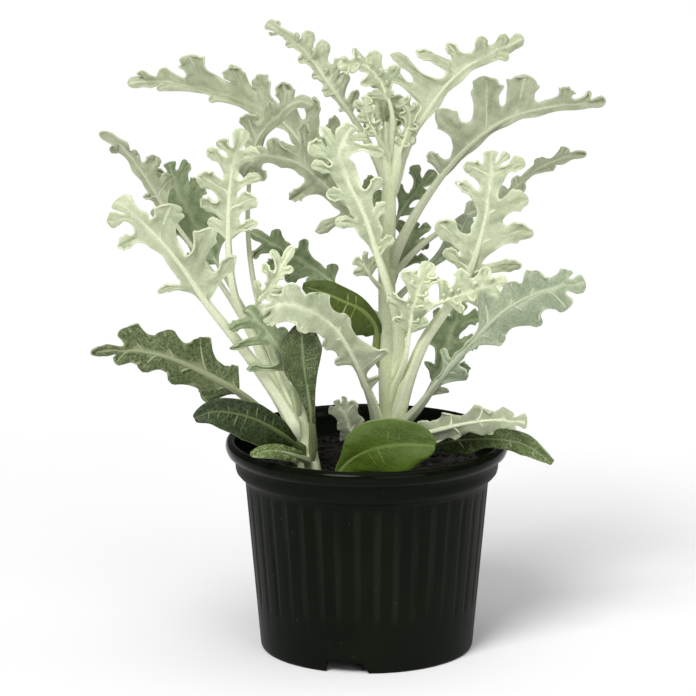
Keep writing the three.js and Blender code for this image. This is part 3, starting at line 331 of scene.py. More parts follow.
leaf("high_right", "right", tone=0.92, width=6.5, tip=6, stalk=2.4, cut=0.45, web=3,
     rib=[(11.5, 203, 12), (15, 212, 16), (20, 223, 20), (25.5, 232, 24), (33, 242.5, 30), (42, 250.5, 35),
          (52, 256, 39), (65, 262.5, 41)],
     lobes=[(46.5, 262.5, 0, 6, 0.2), (56.5, 263.5, 0, 4), (58.5, 253.5, 0, 4, 0.9), (33, 260, 2, 5, -0.1),
            (20, 257, 2, 5, -0.35), (9.5, 255.5, 2, 5, 0), (6.5, 248, 1, 5, 0), (0, 236.5, 1, 5, -0.1)])
leaf("wide_right", "right", tone=0.68, width=9, tip=5, stalk=2.3, cut=0.36, web=2.6, whole=0.74, lean=0.6,
     cup=0.2,
     rib=[(11.5, 172, 6), (17, 181, 2), (22, 190, 0), (33, 206, -4), (43, 217, -7), (58, 228, -9),
          (78, 233.5, -10), (99.5, 236, -10)],
     lobes=[(26, 214, 2, 6, 0.1), (29.5, 231.5, 3, 10, -0.05), (49.5, 246.5, 3, 13, 0.5),
            (66, 247, 3, 13, 0.5), (84, 242, 2, 7), (93, 240, 2, 4)])
leaf("edge_on_right", "right", tone=0.68, width=5, tip=3.5, stalk=1.5, cut=0.5, web=2.6, whole=0.5, cup=0,
     rib=[(11.5, 162, 14), (25, 176, 22), (42, 187, 28), (57, 194, 32), (70, 205.5, 34), (84, 212.5, 34),
          (92, 213.5, 34)],
     lobes=[(62, 203.5, 4), (72, 211, 4), (83, 216, 3), (66, 198.5, -4), (78, 206, -4), (56, 199, 4),
            (58, 190, -4), (44, 193, 4)])
leaf("round_back", "right", look="half_bare", tone=0.9, stalk=1.2, cup=0.1, roll=10,
     rib=[(12, 150, 14), (24, 163, 16), (36, 175, 17), (43, 188, 17)],
     halves=[(0.5, 1.8, 1.8), (0.66, 4, 4), (0.82, 6, 6), (0.94, 4, 4)])
leaf("curly", "right", tone=1.12, width=7, tip=7, stalk=1.5, cut=0.55, web=3, cup=0.3, frill=3.2,
     rib=[(13.5, 112, 1), (16, 124, -6), (18, 138, -12), (20, 149, -16), (23, 159, -17), (27, 167, -16)],
     lobes=[(15, 163, -1, 6), (31, 159, 0, 5), (28, 149, -5, 5), (9, 153, 0, 6), (11, 143, 0, 5),
            (26, 141, 0, 5)])
leaf("curly_right", "right", tone=1.12, width=7, tip=6, stalk=1.4, cut=0.55, web=3, cup=0.2, frill=3.6,
     rib=[(15, 134, 10), (21, 142, -4), (26, 147, -14), (33, 150.5, -22), (41, 153.5, -26), (50, 156.5, -28),
          (59, 159, -29)],
     lobes=[(40, 164, 0), (50, 165, 0, 6), (57, 151, -1, 5), (33, 159, 0), (48, 148, 0, 5), (41, 145, 0, 5)])
leaf("low_stem", "right", width=5, tip=6, stalk=1.2, cut=0.5, web=2,
     rib=[(5, 155, 3), (2, 160, -3), (-1, 165, -7), (-5, 169, -9)],
     lobes=[(-6, 162, 0), (4, 168, 0), (-1, 172, 0)])
leaf("grey_upper", "right", look="grey", width=6, tip=6, stalk=1.2, cut=0.5, web=3,
     rib=[(5, 176, 14), (1, 185, 22), (-3, 194, 26), (-6, 203, 28)],
     lobes=[(-12, 197, 0), (-9, 188, 0), (4, 203, 0), (6, 196, 0, 5)])
leaf("small_back", "right", look="grey", width=5, tip=5, stalk=1.1, cut=0.45,
     rib=[(11, 156, 15), (14, 166, 22), (17, 175, 26), (21, 184, 28)],
     lobes=[(26, 174, 0), (26, 168, 0), (10, 176, 0), (13, 184, 0), (27, 182, 0)])
leaf("dark_back", "right", look="grey", width=5, tip=5, stalk=1.2, cut=0.4,
     rib=[(11, 182, 14), (15, 190, 20), (20, 197, 24), (29, 206, 26)],
     lobes=[(12, 200, 0), (19, 208, 0), (27, 195, 0), (22, 188, 0, 4)])

print(len(LEAVES), "leaves in the table,", sum("lobes" in spec for spec in LEAVES), "of them lobed")

# %% [markdown]
# ## Leaf sheets
# A leaf is drawn as a thin cage first: a midrib, a web beside it and a strip of sections for each lobe. Two
# numbers ride on every point: how near it is to the margin and how near to a vein. Later the cage is
# thickened and subdivided, which rounds each lobe and tooth the way a soft leaf is rounded.

# %% A cage that remembers margin and vein
PAST_TIP = 9.0  # a place beyond any leaf, where places run from 0 to 1
IN_STEP = 0.012  # two places this near are joined by a quad


class Sheet:
    """Points with a margin and a vein number each, and the faces between them."""

    def __init__(self):
        self.points = []
        self.edge = []
        self.vein = []
        self.faces = []

    def add(self, point, edge=0.0, vein=0.0):
        self.points.append(np.asarray(point, float))
        self.edge.append(edge)
        self.vein.append(vein)
        return len(self.points) - 1

    def face(self, side, *ids):
        ids = [v for i, v in enumerate(ids) if v != ids[i - 1]]
        if len(ids) > 2:
            self.faces.append(tuple(ids) if side > 0 else tuple(reversed(ids)))

    def rows(self, side, inner, outer):
        for i in range(len(inner) - 1):
            self.face(side, inner[i], inner[i + 1], outer[i + 1], outer[i])

    def zip(self, side, inner, outer):
        """Fill between two rows of (place, id) with different counts, in quads where they keep step."""
        i = j = 0
        while i + 1 < len(inner) or j + 1 < len(outer):
            a = inner[i + 1][0] if i + 1 < len(inner) else PAST_TIP
            b = outer[j + 1][0] if j + 1 < len(outer) else PAST_TIP
            if abs(a - b) < IN_STEP:
                self.face(side, inner[i][1], inner[i + 1][1], outer[j + 1][1], outer[j][1])
                i, j = i + 1, j + 1
            elif a <= b:
                self.face(side, inner[i][1], inner[i + 1][1], outer[j][1])
                i += 1
            else:
                self.face(side, inner[i][1], outer[j + 1][1], outer[j][1])
                j += 1


# %% [markdown]
# Each lobe is given by its tip. It grows from the midrib a little nearer the stalk than the closest place,
# the way lobes of this plant point forward, and it belongs to the side of the midrib that its tip lies on.

# %% Lobes from their tips
LOBE_GAP = 2.6  # least distance between two lobes of one side along the midrib, mm
TRIES = 60  # places along the midrib where the nearest one to a tip is looked for


def place_of(lobe):
    return lobe.t


def lobes_of(spec, line):
    """Each lobe's place on the midrib, side, tip and width, from the stalk upwards."""
    found = []
    for i, row in enumerate(spec["lobes"]):
        x, z, behind = row[:3]
        width = row[3] if len(row) > 3 else spec["width"]
        lean = row[4] if len(row) > 4 else spec.get("lean", 0.45)
        best, near = 1e9, 0.0
        for k in range(4, TRIES + 1):
            p = line.point(k / TRIES)
            q = at([x, z, p[1]])
            far = math.hypot(p[0] - q[0], p[2] - q[2])
            if far < best:
                best, near = far, k / TRIES
        t = min(max(0.06, near - lean * best / line.length), 1 - 0.9 * spec["tip"] / line.length)
        base = line.point(t)
        sketch = at([x, z, base[1]])
        left = line.across(t)
        side = 1 if (sketch[0] - base[0]) * left[0] + (sketch[2] - base[2]) * left[2] >= 0 else -1
        cup = -spec.get("cup", 0.15) * best + 1.5 * math.sin(2.4 * i)
        tip = at([x, z, base[1] + behind + cup])
        found.append(SimpleNamespace(t=t, side=side, tip=tip, width=width))
    for side in (1, -1):
        mine = sorted((lobe for lobe in found if lobe.side == side), key=place_of)
        for a, b in zip(mine, mine[1:]):
            b.t = max(b.t, a.t + LOBE_GAP / line.length)
    return sorted((lobe for lobe in found if lobe.t < 0.97), key=place_of)


first = LEAVES[0]
print(first["name"], "has", len(lobes_of(first, Line(rooted(first)))), "lobes")


# %% [markdown]
# A lobe of a dusty miller is never a plain finger. It widens from its neck, carries one or two blunt teeth on
# each side that point forward, and ends round. Its margin rolls down and waves. ENVELOPE gives the outline
# without teeth, and every lobe draws its own teeth from the leaf's seeded chance.

# %% The outline of a lobe
SECTIONS = [0.1, 0.21, 0.32, 0.42, 0.51, 0.6, 0.69, 0.78, 0.87, 0.95]
ENVELOPE = [1.0, 0.96, 0.94, 0.96, 1.0, 1.02, 0.98, 0.86, 0.66, 0.36]
SHORT_LOBE = 5  # a lobe shorter than this, in mm, has no teeth and fewer sections
SHORT_SECTIONS = [0.25, 0.5, 0.72, 0.9]
ROLL = [-0.1, 0.03, -0.04, 0.03, -0.1]  # how the five points of a section lie off its plane
ARCH = 0.24  # how high a lobe arches along its run


def tooth(a, places):
    """How far the teeth push the margin out at a place along the lobe, 0 to 1."""
    return sum(math.exp(-(((a - u) / 0.062) ** 2)) for u in places)


def apart(point, piece):
    """Distance of a point from a straight piece between two points."""
    a, b = piece
    k = np.clip((point - a) @ (b - a) / ((b - a) @ (b - a)), 0, 1)
    return np.linalg.norm(point - a - k * (b - a))


# %% One lobe as a strip of sections


def lobe_strip(sheet, side, base_ids, tip, width, beside, chance):
    """Sections across the lobe from its base row of five points to its tip, clear of the lobes beside it."""
    foot = sheet.points[base_ids[2]]
    run = tip - foot
    size = np.linalg.norm(run)
    along = run / size
    span = sheet.points[base_ids[-1]] - sheet.points[base_ids[0]]
    room = np.linalg.norm(span)
    square = unit(span - along * (span @ along))
    up = unit(np.cross(square, along)) * -side
    twist = chance.uniform(-0.4, 0.4)
    bend = chance.uniform(-0.1, 0.1) * size
    phase = chance.uniform(0, 6.28)
    wave = 0.06 * min(width, 7)
    cap = max(0.45, 1 - 0.6 * width / size)  # where the round end begins
    first, second = chance.uniform(0.36, 0.56), chance.uniform(0.42, 0.6)
    low_teeth = [first] + ([first + 0.3] if chance.random() < 0.5 else [])
    high_teeth = [second] + ([second + 0.27] if chance.random() < 0.6 else [])
    if size < SHORT_LOBE:
        low_teeth, high_teeth = [], []
    row = base_ids
    for a in SHORT_SECTIONS if size < SHORT_LOBE else SECTIONS:
        flat_broad = unit(unit(span) * max(0, 1 - a / 0.45) + square * min(1, a / 0.45))
        centre = foot + run * a + square * bend * 4 * a * (1 - a) * a
        centre[2] += ARCH * size * a * (1 - a)
        half = 0.5 * min(np.interp(a, SECTIONS, ENVELOPE) * width, room * (1.0 + 0.5 * a))
        if a > cap:
            half = min(half, 0.5 * width * math.sqrt(1 - ((a - cap) / (1 - cap)) ** 2))
        half = max(0.6, min(half, *(0.5 * apart(centre, piece) for piece in beside)))
        low_tooth, high_tooth = tooth(a, low_teeth), tooth(a, high_teeth)
        bite = 0.42 if a < 0.65 else 0.28
        low = half * (0.9 + bite * low_tooth) * chance.uniform(0.95, 1.05)
        high = half * (0.9 + bite * high_tooth) * chance.uniform(0.95, 1.05)
        sway = [math.sin(phase + 5.2 * a), 0, 0, 0, math.sin(phase + 2.1 + 4.7 * a)]
        broad = unit(flat_broad * math.cos(twist * a) + up * math.sin(twist * a))
        across = [-low, -0.5 * low, 0, 0.5 * high, high]
        ahead = [0.3 * half * low_tooth, 0, 0, 0, 0.3 * half * high_tooth]
        section = []
        for c in range(5):
            lift = up * (ROLL[c] * min(width, 6) + sway[c] * wave) + along * ahead[c]
            section.append(sheet.add(centre + broad * across[c] + lift, float(c in (0, 4)), float(c == 2)))
        sheet.rows(side, row, section)
        row = section
    end = sheet.add(tip, 1.0, 0.4)
    for c in range(4):
        sheet.face(side, row[c], row[c + 1], end)


# %% [markdown]
# ## A lobed leaf
# The stalk, the midrib and a vein into each lobe are soft tubes laid through the sheet, so they stand proud
# on both faces as they do on the real leaf. A tube is a row of rings, with shallow ribs where the stalk has
# them.

# %% Rings and tubes


def ring_faces(rings, around):
    """Quads between rings of points that follow each other."""
    faces = []
    for k in range(rings - 1):
        for s in range(around):
            a, b = k * around + s, k * around + (s + 1) % around
            faces.append((a, b, b + around, a + around))
    return faces


def tube(points, radii, around=8, ribs=0):
    """A closed tube through the points, with shallow ribs along it if asked: vertices and faces."""
    verts = []
    n = len(points)
    side = None
    for k in range(n):
        way = unit(points[min(k + 1, n - 1)] - points[max(k - 1, 0)])
        if side is None:
            side = unit(np.cross(way, [0.13, 1, 0.21]))
        side = unit(side - way * (side @ way))
        up = np.cross(way, side)
        for s in range(around):
            turn = 2 * math.pi * s / around
            r = radii[k] * (1 + 0.09 * math.cos(ribs * turn + 0.03 * k)) if ribs else radii[k]
            verts.append(points[k] + r * (side * math.cos(turn) + up * math.sin(turn)))
    ends = [tuple(reversed(range(around))), tuple((n - 1) * around + s for s in range(around))]
    return verts, ring_faces(n, around) + ends


# %% [markdown]
# A stalk clasps the stem that it grows from. Two points before its own foot carry the tube down into the
# stem, so that no gap shows where they meet.

# %% The foot of a stalk
STALK_SIDES, STALK_RIBS = 24, 5


def stalk_tube(spec, line, thick):
    """The stalk and midrib as one tube, which clasps the stem it grows from: path, radii, sides and ribs."""
    places = np.linspace(0, 0.97, max(12, int(line.length / 3)))
    path = [line.point(t) for t in places]
    radii = [thick(t) * (1 + 0.1 * math.exp(-t * line.length / 5)) for t in places]
    if spec["stem"]:
        foot = path[0]
        stem = stem_at(STEMS[spec["stem"]], foot[2] - 7)
        heart = np.array([stem[0], stem[1], foot[2] - 11])
        skin = foot + (heart - foot) * np.array([0.3, 0.3, 0.5])
        path = [heart, skin] + path
        radii = [radii[0] * 0.3, radii[0] * 0.75] + radii
    return np.array(path), radii, STALK_SIDES, STALK_RIBS


# %% [markdown]
# The youngest leaves are frilled: besides their open lobes they carry rows of tiny ones that are still rolled
# up, curl towards their own tips and end in a blunt knob.

# %% Rolled lobes of the youngest leaves
FRILL_SIDES = 8


def rolled_lobes(line, start, spacing, chance):
    """Tubes that curl out and forward on both sides of the midrib."""
    tubes = []
    for t in np.arange(start + 0.04, 0.93, spacing / line.length):
        for side in (1, -1):
            size = chance.uniform(2.4, 4.0)
            foot, out = line.point(t), line.across(t) * side
            ahead, near = line.tangent(t), np.array([0, chance.choice([-1, -1, 1]), 0])
            path = spline([
                foot, foot + size * (0.5 * out + 0.15 * ahead + 0.3 * near),
                foot + size * (0.95 * out + 0.45 * ahead + 0.55 * near),
                foot + size * (0.85 * out + 0.85 * ahead + 0.35 * near)], 4)
            fat = size / 3.9 * np.interp(np.linspace(0, 1, len(path)), [0, 0.5, 0.85, 1], [0.5, 0.75, 1, 0.4])
            tubes.append((path, fat, FRILL_SIDES, 0))
    return tubes


# %% [markdown]
# A leaf is planned before it is drawn. The blade starts a little below the lowest lobe. Above the highest
# lobe the blade is bare for a short way and then ends in an oval of its own. The stalk tapers into the
# midrib.

# %% The plan of a lobed leaf


def planned(spec):
    """What the steps below share: the leaf's line, lobes, cage, seeded chance and the places of its parts."""
    line = Line(rooted(spec))
    lobes = lobes_of(spec, line)
    last = lobes[-1].t
    bare = min(0.5 * (last + 1), last + 2.4 / line.length)
    return SimpleNamespace(
        spec=spec, line=line, size=line.length, lobes=lobes, roll=spec.get("roll", 0),
        start=max(0.04, lobes[0].t - 3 / line.length),
        bare=bare, oval=bare + 0.35 * (1 - bare),
        sheet=Sheet(), tubes=[], chance=random.Random(spec["name"]))


def thickness(plan, t):
    """Half thickness of the stalk and midrib at a place along it."""
    stalk, start = plan.spec["stalk"], plan.start
    if t < start:
        return stalk * (1 - 0.4 * t / start)
    return 0.5 * stalk * (1 - (t - start) / (1 - start)) ** 1.1 + 0.2


def midrib(plan):
    """Points along the midrib, one at each lobe and more where lobes stand apart."""
    rib = []

    def put(t):
        rib.append((t, plan.sheet.add(plan.line.point(t), 0, 1)))

    put(plan.start)
    marks = [lobe.t for lobe in plan.lobes] + [plan.bare + (1 - plan.bare) * a for a in (0.3, 0.5, 0.7, 0.9)]
    for t in sorted(marks):
        while t - rib[-1][0] > 5.0 / plan.size:
            put(rib[-1][0] + 2.5 / plan.size)
        if t - rib[-1][0] > 1.2 / plan.size:
            put(t)
    return rib


# %% [markdown]
# The web between two near lobes reaches out to a shared notch. Where lobes stand apart the web narrows to a
# rim beside the midrib, which isn't quite straight and has a small tooth here and there.

# %% The web's rim
RIM_STEP = 2.4  # between points of the rim, mm


def off_midrib(plan, side, t, far):
    """A point of the blade's plane on one side of the midrib."""
    return plan.line.point(t) + plan.line.across(t, plan.roll) * side * far


def rim(plan, t):
    """How far the web reaches where no lobe grows."""
    grown = min(1, (t - plan.start) * plan.size / 12)
    return max(1.2 + (plan.spec.get("web", 1.6) - 1.2) * grown, 0.9 * thickness(plan, t) + 0.4)


def follow_rim(plan, side, edge, t):
    """Add points of the rim up to a place, with no lobe on the way."""
    first = edge[-1][0]
    count = int((t - first) * plan.size / RIM_STEP)
    for k in range(1, count + 1):
        s = first + (t - first) * k / (count + 1)
        far = rim(plan, s) * (1 + 0.15 * math.sin(2.3 * s * plan.size))
        if k % 4 == 2 and s > plan.start + 8 / plan.size and first > plan.start:
            far += plan.chance.uniform(0.5, 1.5)
        edge.append((s, plan.sheet.add(off_midrib(plan, side, s, far), 1)))


# %% [markdown]
# A lobe grows from five points: where its lower margin leaves the web, its own middle on the vein, where its
# upper margin meets the next lobe or the web, and one between each two. The upper one is the notch.

# %% A lobe and its root


def joins(plan, lower, upper):
    """Whether two lobes that follow each other share their blade."""
    near = (upper.t - lower.t) * plan.size <= 0.85 * (lower.width + upper.width)
    return near or lower.t > plan.spec.get("whole", 1)


def notch(plan, side, lobe, after, way, reach):
    """The place and the point where the lobe's upper margin starts."""
    t, cut, point = lobe.t, plan.spec.get("cut", 0.35), plan.line.point
    if after and joins(plan, lobe, after):
        mid = 0.5 * (t + after.t)
        other = after.tip - point(after.t)
        deep = max(cut * min(np.linalg.norm(way), np.linalg.norm(other)), 1)
        return mid, point(mid) + unit(unit(way) + unit(other)) * deep
    if after:
        mid = t + reach
        return mid, off_midrib(plan, side, mid, rim(plan, mid)) + way * 0.08
    mid = min(0.5 * (t + plan.oval), t + reach)
    deep = min(max(0.5 * cut * np.linalg.norm(way), 1), plan.spec["tip"] * 0.4)
    return mid, point(mid) + unit(unit(way) + plan.line.across(mid, plan.roll) * side) * deep


def lobe_vein(plan, lobe, root):
    """The lobe's own vein leaves the midrib low and bends into the lobe."""
    t, run = lobe.t, lobe.tip - root
    path = [plan.line.point(t - 1.2 / plan.size), plan.line.point(t) * 0.55 + root * 0.45, root]
    for a in (0.3, 0.6, 0.85):
        dot = root + run * a
        dot[2] += ARCH * np.linalg.norm(run) * a * (1 - a)
        path.append(dot)
    path = spline(path, 4)
    fat = min(0.7, 0.45 * thickness(plan, t) + 0.3)
    return path, np.linspace(fat, 0.2, len(path)), 6, 0


def grow_lobe(plan, side, edge, before, lobe, after):
    """Bring the margin up to the lobe, lay its root, draw its strip and its vein."""
    sheet, t = plan.sheet, lobe.t
    way = lobe.tip - plan.line.point(t)
    reach = 0.6 * lobe.width / plan.size
    if not joins(plan, before, lobe) if before else t - plan.start > 1.2 * reach:
        low = t - reach
        follow_rim(plan, side, edge, low)
        edge.append((low, sheet.add(off_midrib(plan, side, low, rim(plan, low)) + way * 0.08, 1)))
    lower = edge[-1]
    middle = (t, sheet.add(plan.line.point(t) + way * plan.spec.get("cut", 0.35), 0, 0.6))
    mid, point = notch(plan, side, lobe, after, way, reach)
    upper = (mid, sheet.add(point, 1))
    root = sheet.points[middle[1]]
    between = []
    for end in (lower, upper):
        centre = (sheet.points[end[1]] + root) / 2
        between.append(((end[0] + t) / 2, sheet.add(centre + way * 0.03, 0, 0)))
    five = [lower, between[0], middle, between[1], upper]
    edge += five[1:]
    beside = [(plan.line.point(other.t), other.tip) for other in (before, after) if other]
    if not after:
        beside.append((plan.line.point(plan.oval), plan.line.point(1)))
    ids = [number for place, number in five]
    lobe_strip(sheet, side, ids, lobe.tip, lobe.width, beside, plan.chance)
    plan.tubes.append(lobe_vein(plan, lobe, root))


# %% [markdown]
# Now the leaf is put together, one side at a time: up the margin from lobe to lobe, round the oval end, and
# then the faces between margin and midrib. Both sides share the midrib's points, so the blade is one sheet.

# %% The whole lobed leaf
OVAL = ((0.3, 0.85), (0.45, 1.1), (0.56, 0.86), (0.7, 0.98), (0.82, 0.72), (0.93, 0.5))  # place, breadth


def oval_end(plan, side, edge, mine):
    """The margin of the leaf's own end, kept clear of the highest lobe."""
    for place, breadth in OVAL:
        t = plan.bare + (1 - plan.bare) * place
        if t > edge[-1][0]:
            far = 0.58 * plan.spec["tip"] * breadth
            if mine:
                highest = (plan.line.point(mine[-1].t), mine[-1].tip)
                far = max(0.6, min(far, 0.5 * apart(plan.line.point(t), highest)))
            edge.append((t, plan.sheet.add(off_midrib(plan, side, t, far), 1)))


def lobed_leaf(spec):
    """The cage of a lobed leaf and the list of its tubes."""
    plan = planned(spec)
    line, sheet, start = plan.line, plan.sheet, plan.start
    rib = midrib(plan)
    end = sheet.add(line.point(1), 1, 0.5)
    for side in (1, -1):
        foot = off_midrib(plan, side, start, thickness(plan, start) * 0.95)
        edge = [(start, sheet.add(foot, 1))]
        mine = [lobe for lobe in plan.lobes if lobe.side == side]
        for before, lobe, after in zip([None, *mine], mine, [*mine[1:], None]):
            grow_lobe(plan, side, edge, before, lobe, after)
        follow_rim(plan, side, edge, plan.bare + (1 - plan.bare) * 0.2)
        oval_end(plan, side, edge, mine)
        sheet.zip(side, rib, edge)
        sheet.face(side, rib[-1][1], end, edge[-1][1])
    plan.tubes.append(stalk_tube(spec, line, lambda t: thickness(plan, t)))
    if "frill" in spec:
        plan.tubes += rolled_lobes(line, start, spec["frill"], plan.chance)
    return sheet, plan.tubes


sheet, tubes = lobed_leaf(first)
print(first["name"], "cage:", len(sheet.points), "points,", len(sheet.faces), "faces,", len(tubes), "tubes")

# %% [markdown]
# Young leaves are entire: no lobes, a smooth oval blade with a net of veins. They use the same sheet with
# rows straight across the midrib. Every other row carries a thin vein to each margin.

# %% A young leaf with a plain margin
ACROSS = (-1, -0.78, -0.4, 0, 0.4, 0.78, 1)  # the points of a row, from one margin to the other
ROW_STEP = 2.6  # between rows, mm


def plain_leaf(spec):
    """The cage of an entire leaf and the list of its tubes."""
    chance = random.Random(spec["name"])
    line, sheet = Line(rooted(spec)), Sheet()
    cup, roll = spec.get("cup", 0.2), spec.get("roll", 0)
    table = [(0.0, spec["stalk"], spec["stalk"]), *spec["halves"], (1.0, 0.6, 0.6)]
    places, lefts, rights = zip(*table)
    start = spec["halves"][0][0] * 0.8
    rows = []
    count = max(8, int(line.length / ROW_STEP))
    phase = chance.uniform(0, 6)
    for k in range(count + 1):
        t = start + (0.985 - start) * k / count
        left, right = np.interp(t, places, lefts), np.interp(t, places, rights)
        p, out = line.point(t), line.across(t, roll)
        front = unit(np.cross(out, line.tangent(t)))
        row = []
        for c in ACROSS:
            far = -c * (left if c < 0 else right)
            q = p + out * far + np.array([0, -cup, 0]) * abs(far)
            q = q + front * 0.05 * max(left, right) * math.sin(phase + 9 * t + 3 * c) * abs(c)
            row.append(sheet.add(q, float(abs(c) == 1), float(c == 0)))
        rows.append(row)
    for a, b in zip(rows, rows[1:]):
        for i in range(len(ACROSS) - 1):
            sheet.face(1, a[i + 1], b[i + 1], b[i], a[i])

    def thick(t):
        return max(0.3, spec["stalk"] * (1 - min(1, t * 1.25)) + 0.3 * (1 - t))

    tubes = [stalk_tube(spec, line, thick)]
    for k in range(3, len(rows) - 2, 2):
        for c in (0, -1):
            a, b = sheet.points[rows[k][3]], sheet.points[rows[k + 1][c]]
            path = np.array([a + (b - a) * s for s in np.linspace(0, 0.75, 6)])
            tubes.append((path, np.linspace(0.6, 0.4, 6), 5, 0))
    return sheet, tubes


lengths = [Line(rooted(spec)).length for spec in LEAVES]
print("leaves are", round(min(lengths)), "to", round(max(lengths)), "mm long with their stalks")

# %% [markdown]
# ## From cage to leaf
# The cage becomes a mesh whose points carry their margin and vein numbers as attributes, which the materials
# read later. Every finished piece rides on the root body and stands for the solid model's node of its name.

# %% Meshes with numbers on their points


def write(mesh, key, values):
    """Store one number for each point of the mesh."""
    mesh.attributes.new(key, "FLOAT", "POINT").data.foreach_set("value", values)


def read(mesh, key):
    """The numbers that are stored on the mesh's points."""
    values = np.empty(len(mesh.vertices))
    mesh.attributes[key].data.foreach_get("value", values)
    return values


def vectors(mesh, key):
    """The mesh's points ("co") or its point normals ("normal"), one in each row."""
    flat = np.empty(len(mesh.vertices) * 3)
    mesh.vertices.foreach_get(key, flat)
    return flat.reshape(-1, 3)


def new_mesh(name, points, faces, **numbers):
    """A mesh from points in millimetres, with the given numbers on its points."""
    mesh = bpy.data.meshes.new(name)
    mesh.from_pydata([tuple(v) for v in metres(points)], [], faces)
    for key, values in numbers.items():
        write(mesh, key, values)
    mesh.update()
    return mesh


def new_object(name, data):
    """An object in the scene that shows a mesh, a light or a camera."""
    obj = bpy.data.objects.new(name, data)
    bpy.context.scene.collection.objects.link(obj)
    return obj


def add_piece(mesh, material, node):
    """Show a finished mesh in the place of the solid model's node."""
    obj = new_object(node + "_fine", mesh)
    mesh.materials.clear()
    mesh.materials.append(material)
    mesh.shade_smooth()
    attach(obj, "root")
    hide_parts(node)
    return obj


def bake(obj):
    """Apply the object's modifiers to its mesh."""
    graph = bpy.context.evaluated_depsgraph_get()
    done = bpy.data.meshes.new_from_object(obj.evaluated_get(graph))
    old = obj.data
    obj.modifiers.clear()
    obj.data = done
    bpy.data.meshes.remove(old)


# %% [markdown]
# The blade, its tubes and its hairs are joined into one mesh, so one object is one whole leaf. Each part
# brings its margin, vein and fold numbers. The fold number says whether a point stands above its neighbours
# or lies in a crease. The felted finishes use it for painted shade, darker in creases, and a faint painted
# highlight on ridges.

# %% Parts joined, and folds


def joined(parts):
    """Points and faces of several parts as one, then their numbers; one number may stand for a whole part."""
    points, faces = [], []
    for part in parts:
        base = len(points)
        points += list(part[0])
        faces += [tuple(i + base for i in face) for face in part[1]]
    numbers = [np.concatenate([np.broadcast_to(part[k], len(part[0])) for part in parts]) for k in (2, 3, 4)]
    return points, faces, *numbers


def fold_of(mesh, rounds=2):
    """How far each point stands above (over 0.5) or lies below (under 0.5) its neighbours."""
    n = len(mesh.vertices)
    co, no = vectors(mesh, "co"), vectors(mesh, "normal")
    ends = np.empty(len(mesh.edges) * 2, np.int32)
    mesh.edges.foreach_get("vertices", ends)
    a, b = ends.reshape(-1, 2).T
    count = np.maximum(np.bincount(ends, minlength=n), 1)
    way = co[b] - co[a]

    def gathered(to_a, to_b):
        return (np.bincount(a, to_a, n) + np.bincount(b, to_b, n)) / count

    mean = np.stack([gathered(way[:, k], -way[:, k]) for k in range(3)], 1)
    span = gathered(*[np.linalg.norm(way, axis=1)] * 2) + 1e-9
    fold = -(mean * no).sum(1) / span
    for _ in range(rounds):
        fold = 0.5 * fold + 0.5 * gathered(fold[b], fold[a])
    return np.clip(0.5 + 2.0 * fold, 0, 1)


# %% [markdown]
# The felt is real geometry as well: thin hairs of about 0.7 mm, each one narrow triangle that leans out of
# the surface. They are too fine to see singly, and soften the outline of every leaf and stem.

# %% Felt hairs
HAIR = np.random.default_rng(7)  # one seeded source for all hairs, used in the order of the leaves
HAIR_LENGTH, HAIR_HALF_WIDTH = 0.7, 0.035


def hairs(points, faces, density):
    """Felt hairs all over the faces, so many to the square millimetre: points and triangles."""
    points = np.asarray(points)
    corners = np.array([(f[0], f[i], f[i + 1]) for f in faces for i in range(1, len(f) - 1)])
    a, b, c = (points[corners[:, k]] for k in range(3))
    out = np.cross(b - a, c - a)
    area = np.linalg.norm(out, axis=1) / 2
    out /= 2 * area[:, None] + 1e-9
    count = int(area.sum() * density)
    pick = HAIR.choice(len(area), count, p=area / area.sum())
    u, v = HAIR.random((2, count, 1))
    over = u + v > 1
    u, v = np.where(over, 1 - u, u), np.where(over, 1 - v, v)
    root = a[pick] + u * (b - a)[pick] + v * (c - a)[pick] - 0.05 * out[pick]
    lean = HAIR.normal(size=(count, 3))
    way = out[pick] + 0.7 * lean
    way += np.maximum(0, 0.3 - (way * out[pick]).sum(1))[:, None] * out[pick]
    way /= np.linalg.norm(way, axis=1)[:, None]
    wide = np.cross(way, lean)
    wide *= HAIR_HALF_WIDTH / np.linalg.norm(wide, axis=1)[:, None]
    tip = root + way * HAIR_LENGTH * HAIR.uniform(0.5, 1.2, (count, 1))
    strands = np.stack([root - wide, root + wide, tip], 1).reshape(-1, 3)
    return strands, [(3 * k, 3 * k + 1, 3 * k + 2) for k in range(count)]


# %% [markdown]
# A flat sheet looks like paper. Three sets of seeded waves make it a leaf: long ones bend it, middling ones
# lift the margin most, and short ones quilt the blade between its veins. Veins themselves stay calm.

# %% Waves in the blade
LOBED_WAVES = (1.15, 0.65, 0.35)  # height at the margin, between the veins and everywhere, mm
PLAIN_WAVES = (0.35, 0.35, 0.3)


def waves(points, length, seed):
    """A smooth uneven height, about -1 to 1, from nine crossing waves of about one length."""
    chance = np.random.default_rng(seed)
    way = chance.normal(size=(9, 3))
    way *= (2 * math.pi / length * chance.uniform(0.7, 1.4, 9) / np.linalg.norm(way, axis=1))[:, None]
    return np.sin(points @ way.T + chance.uniform(0, 6.28, 9)).sum(1) / 3


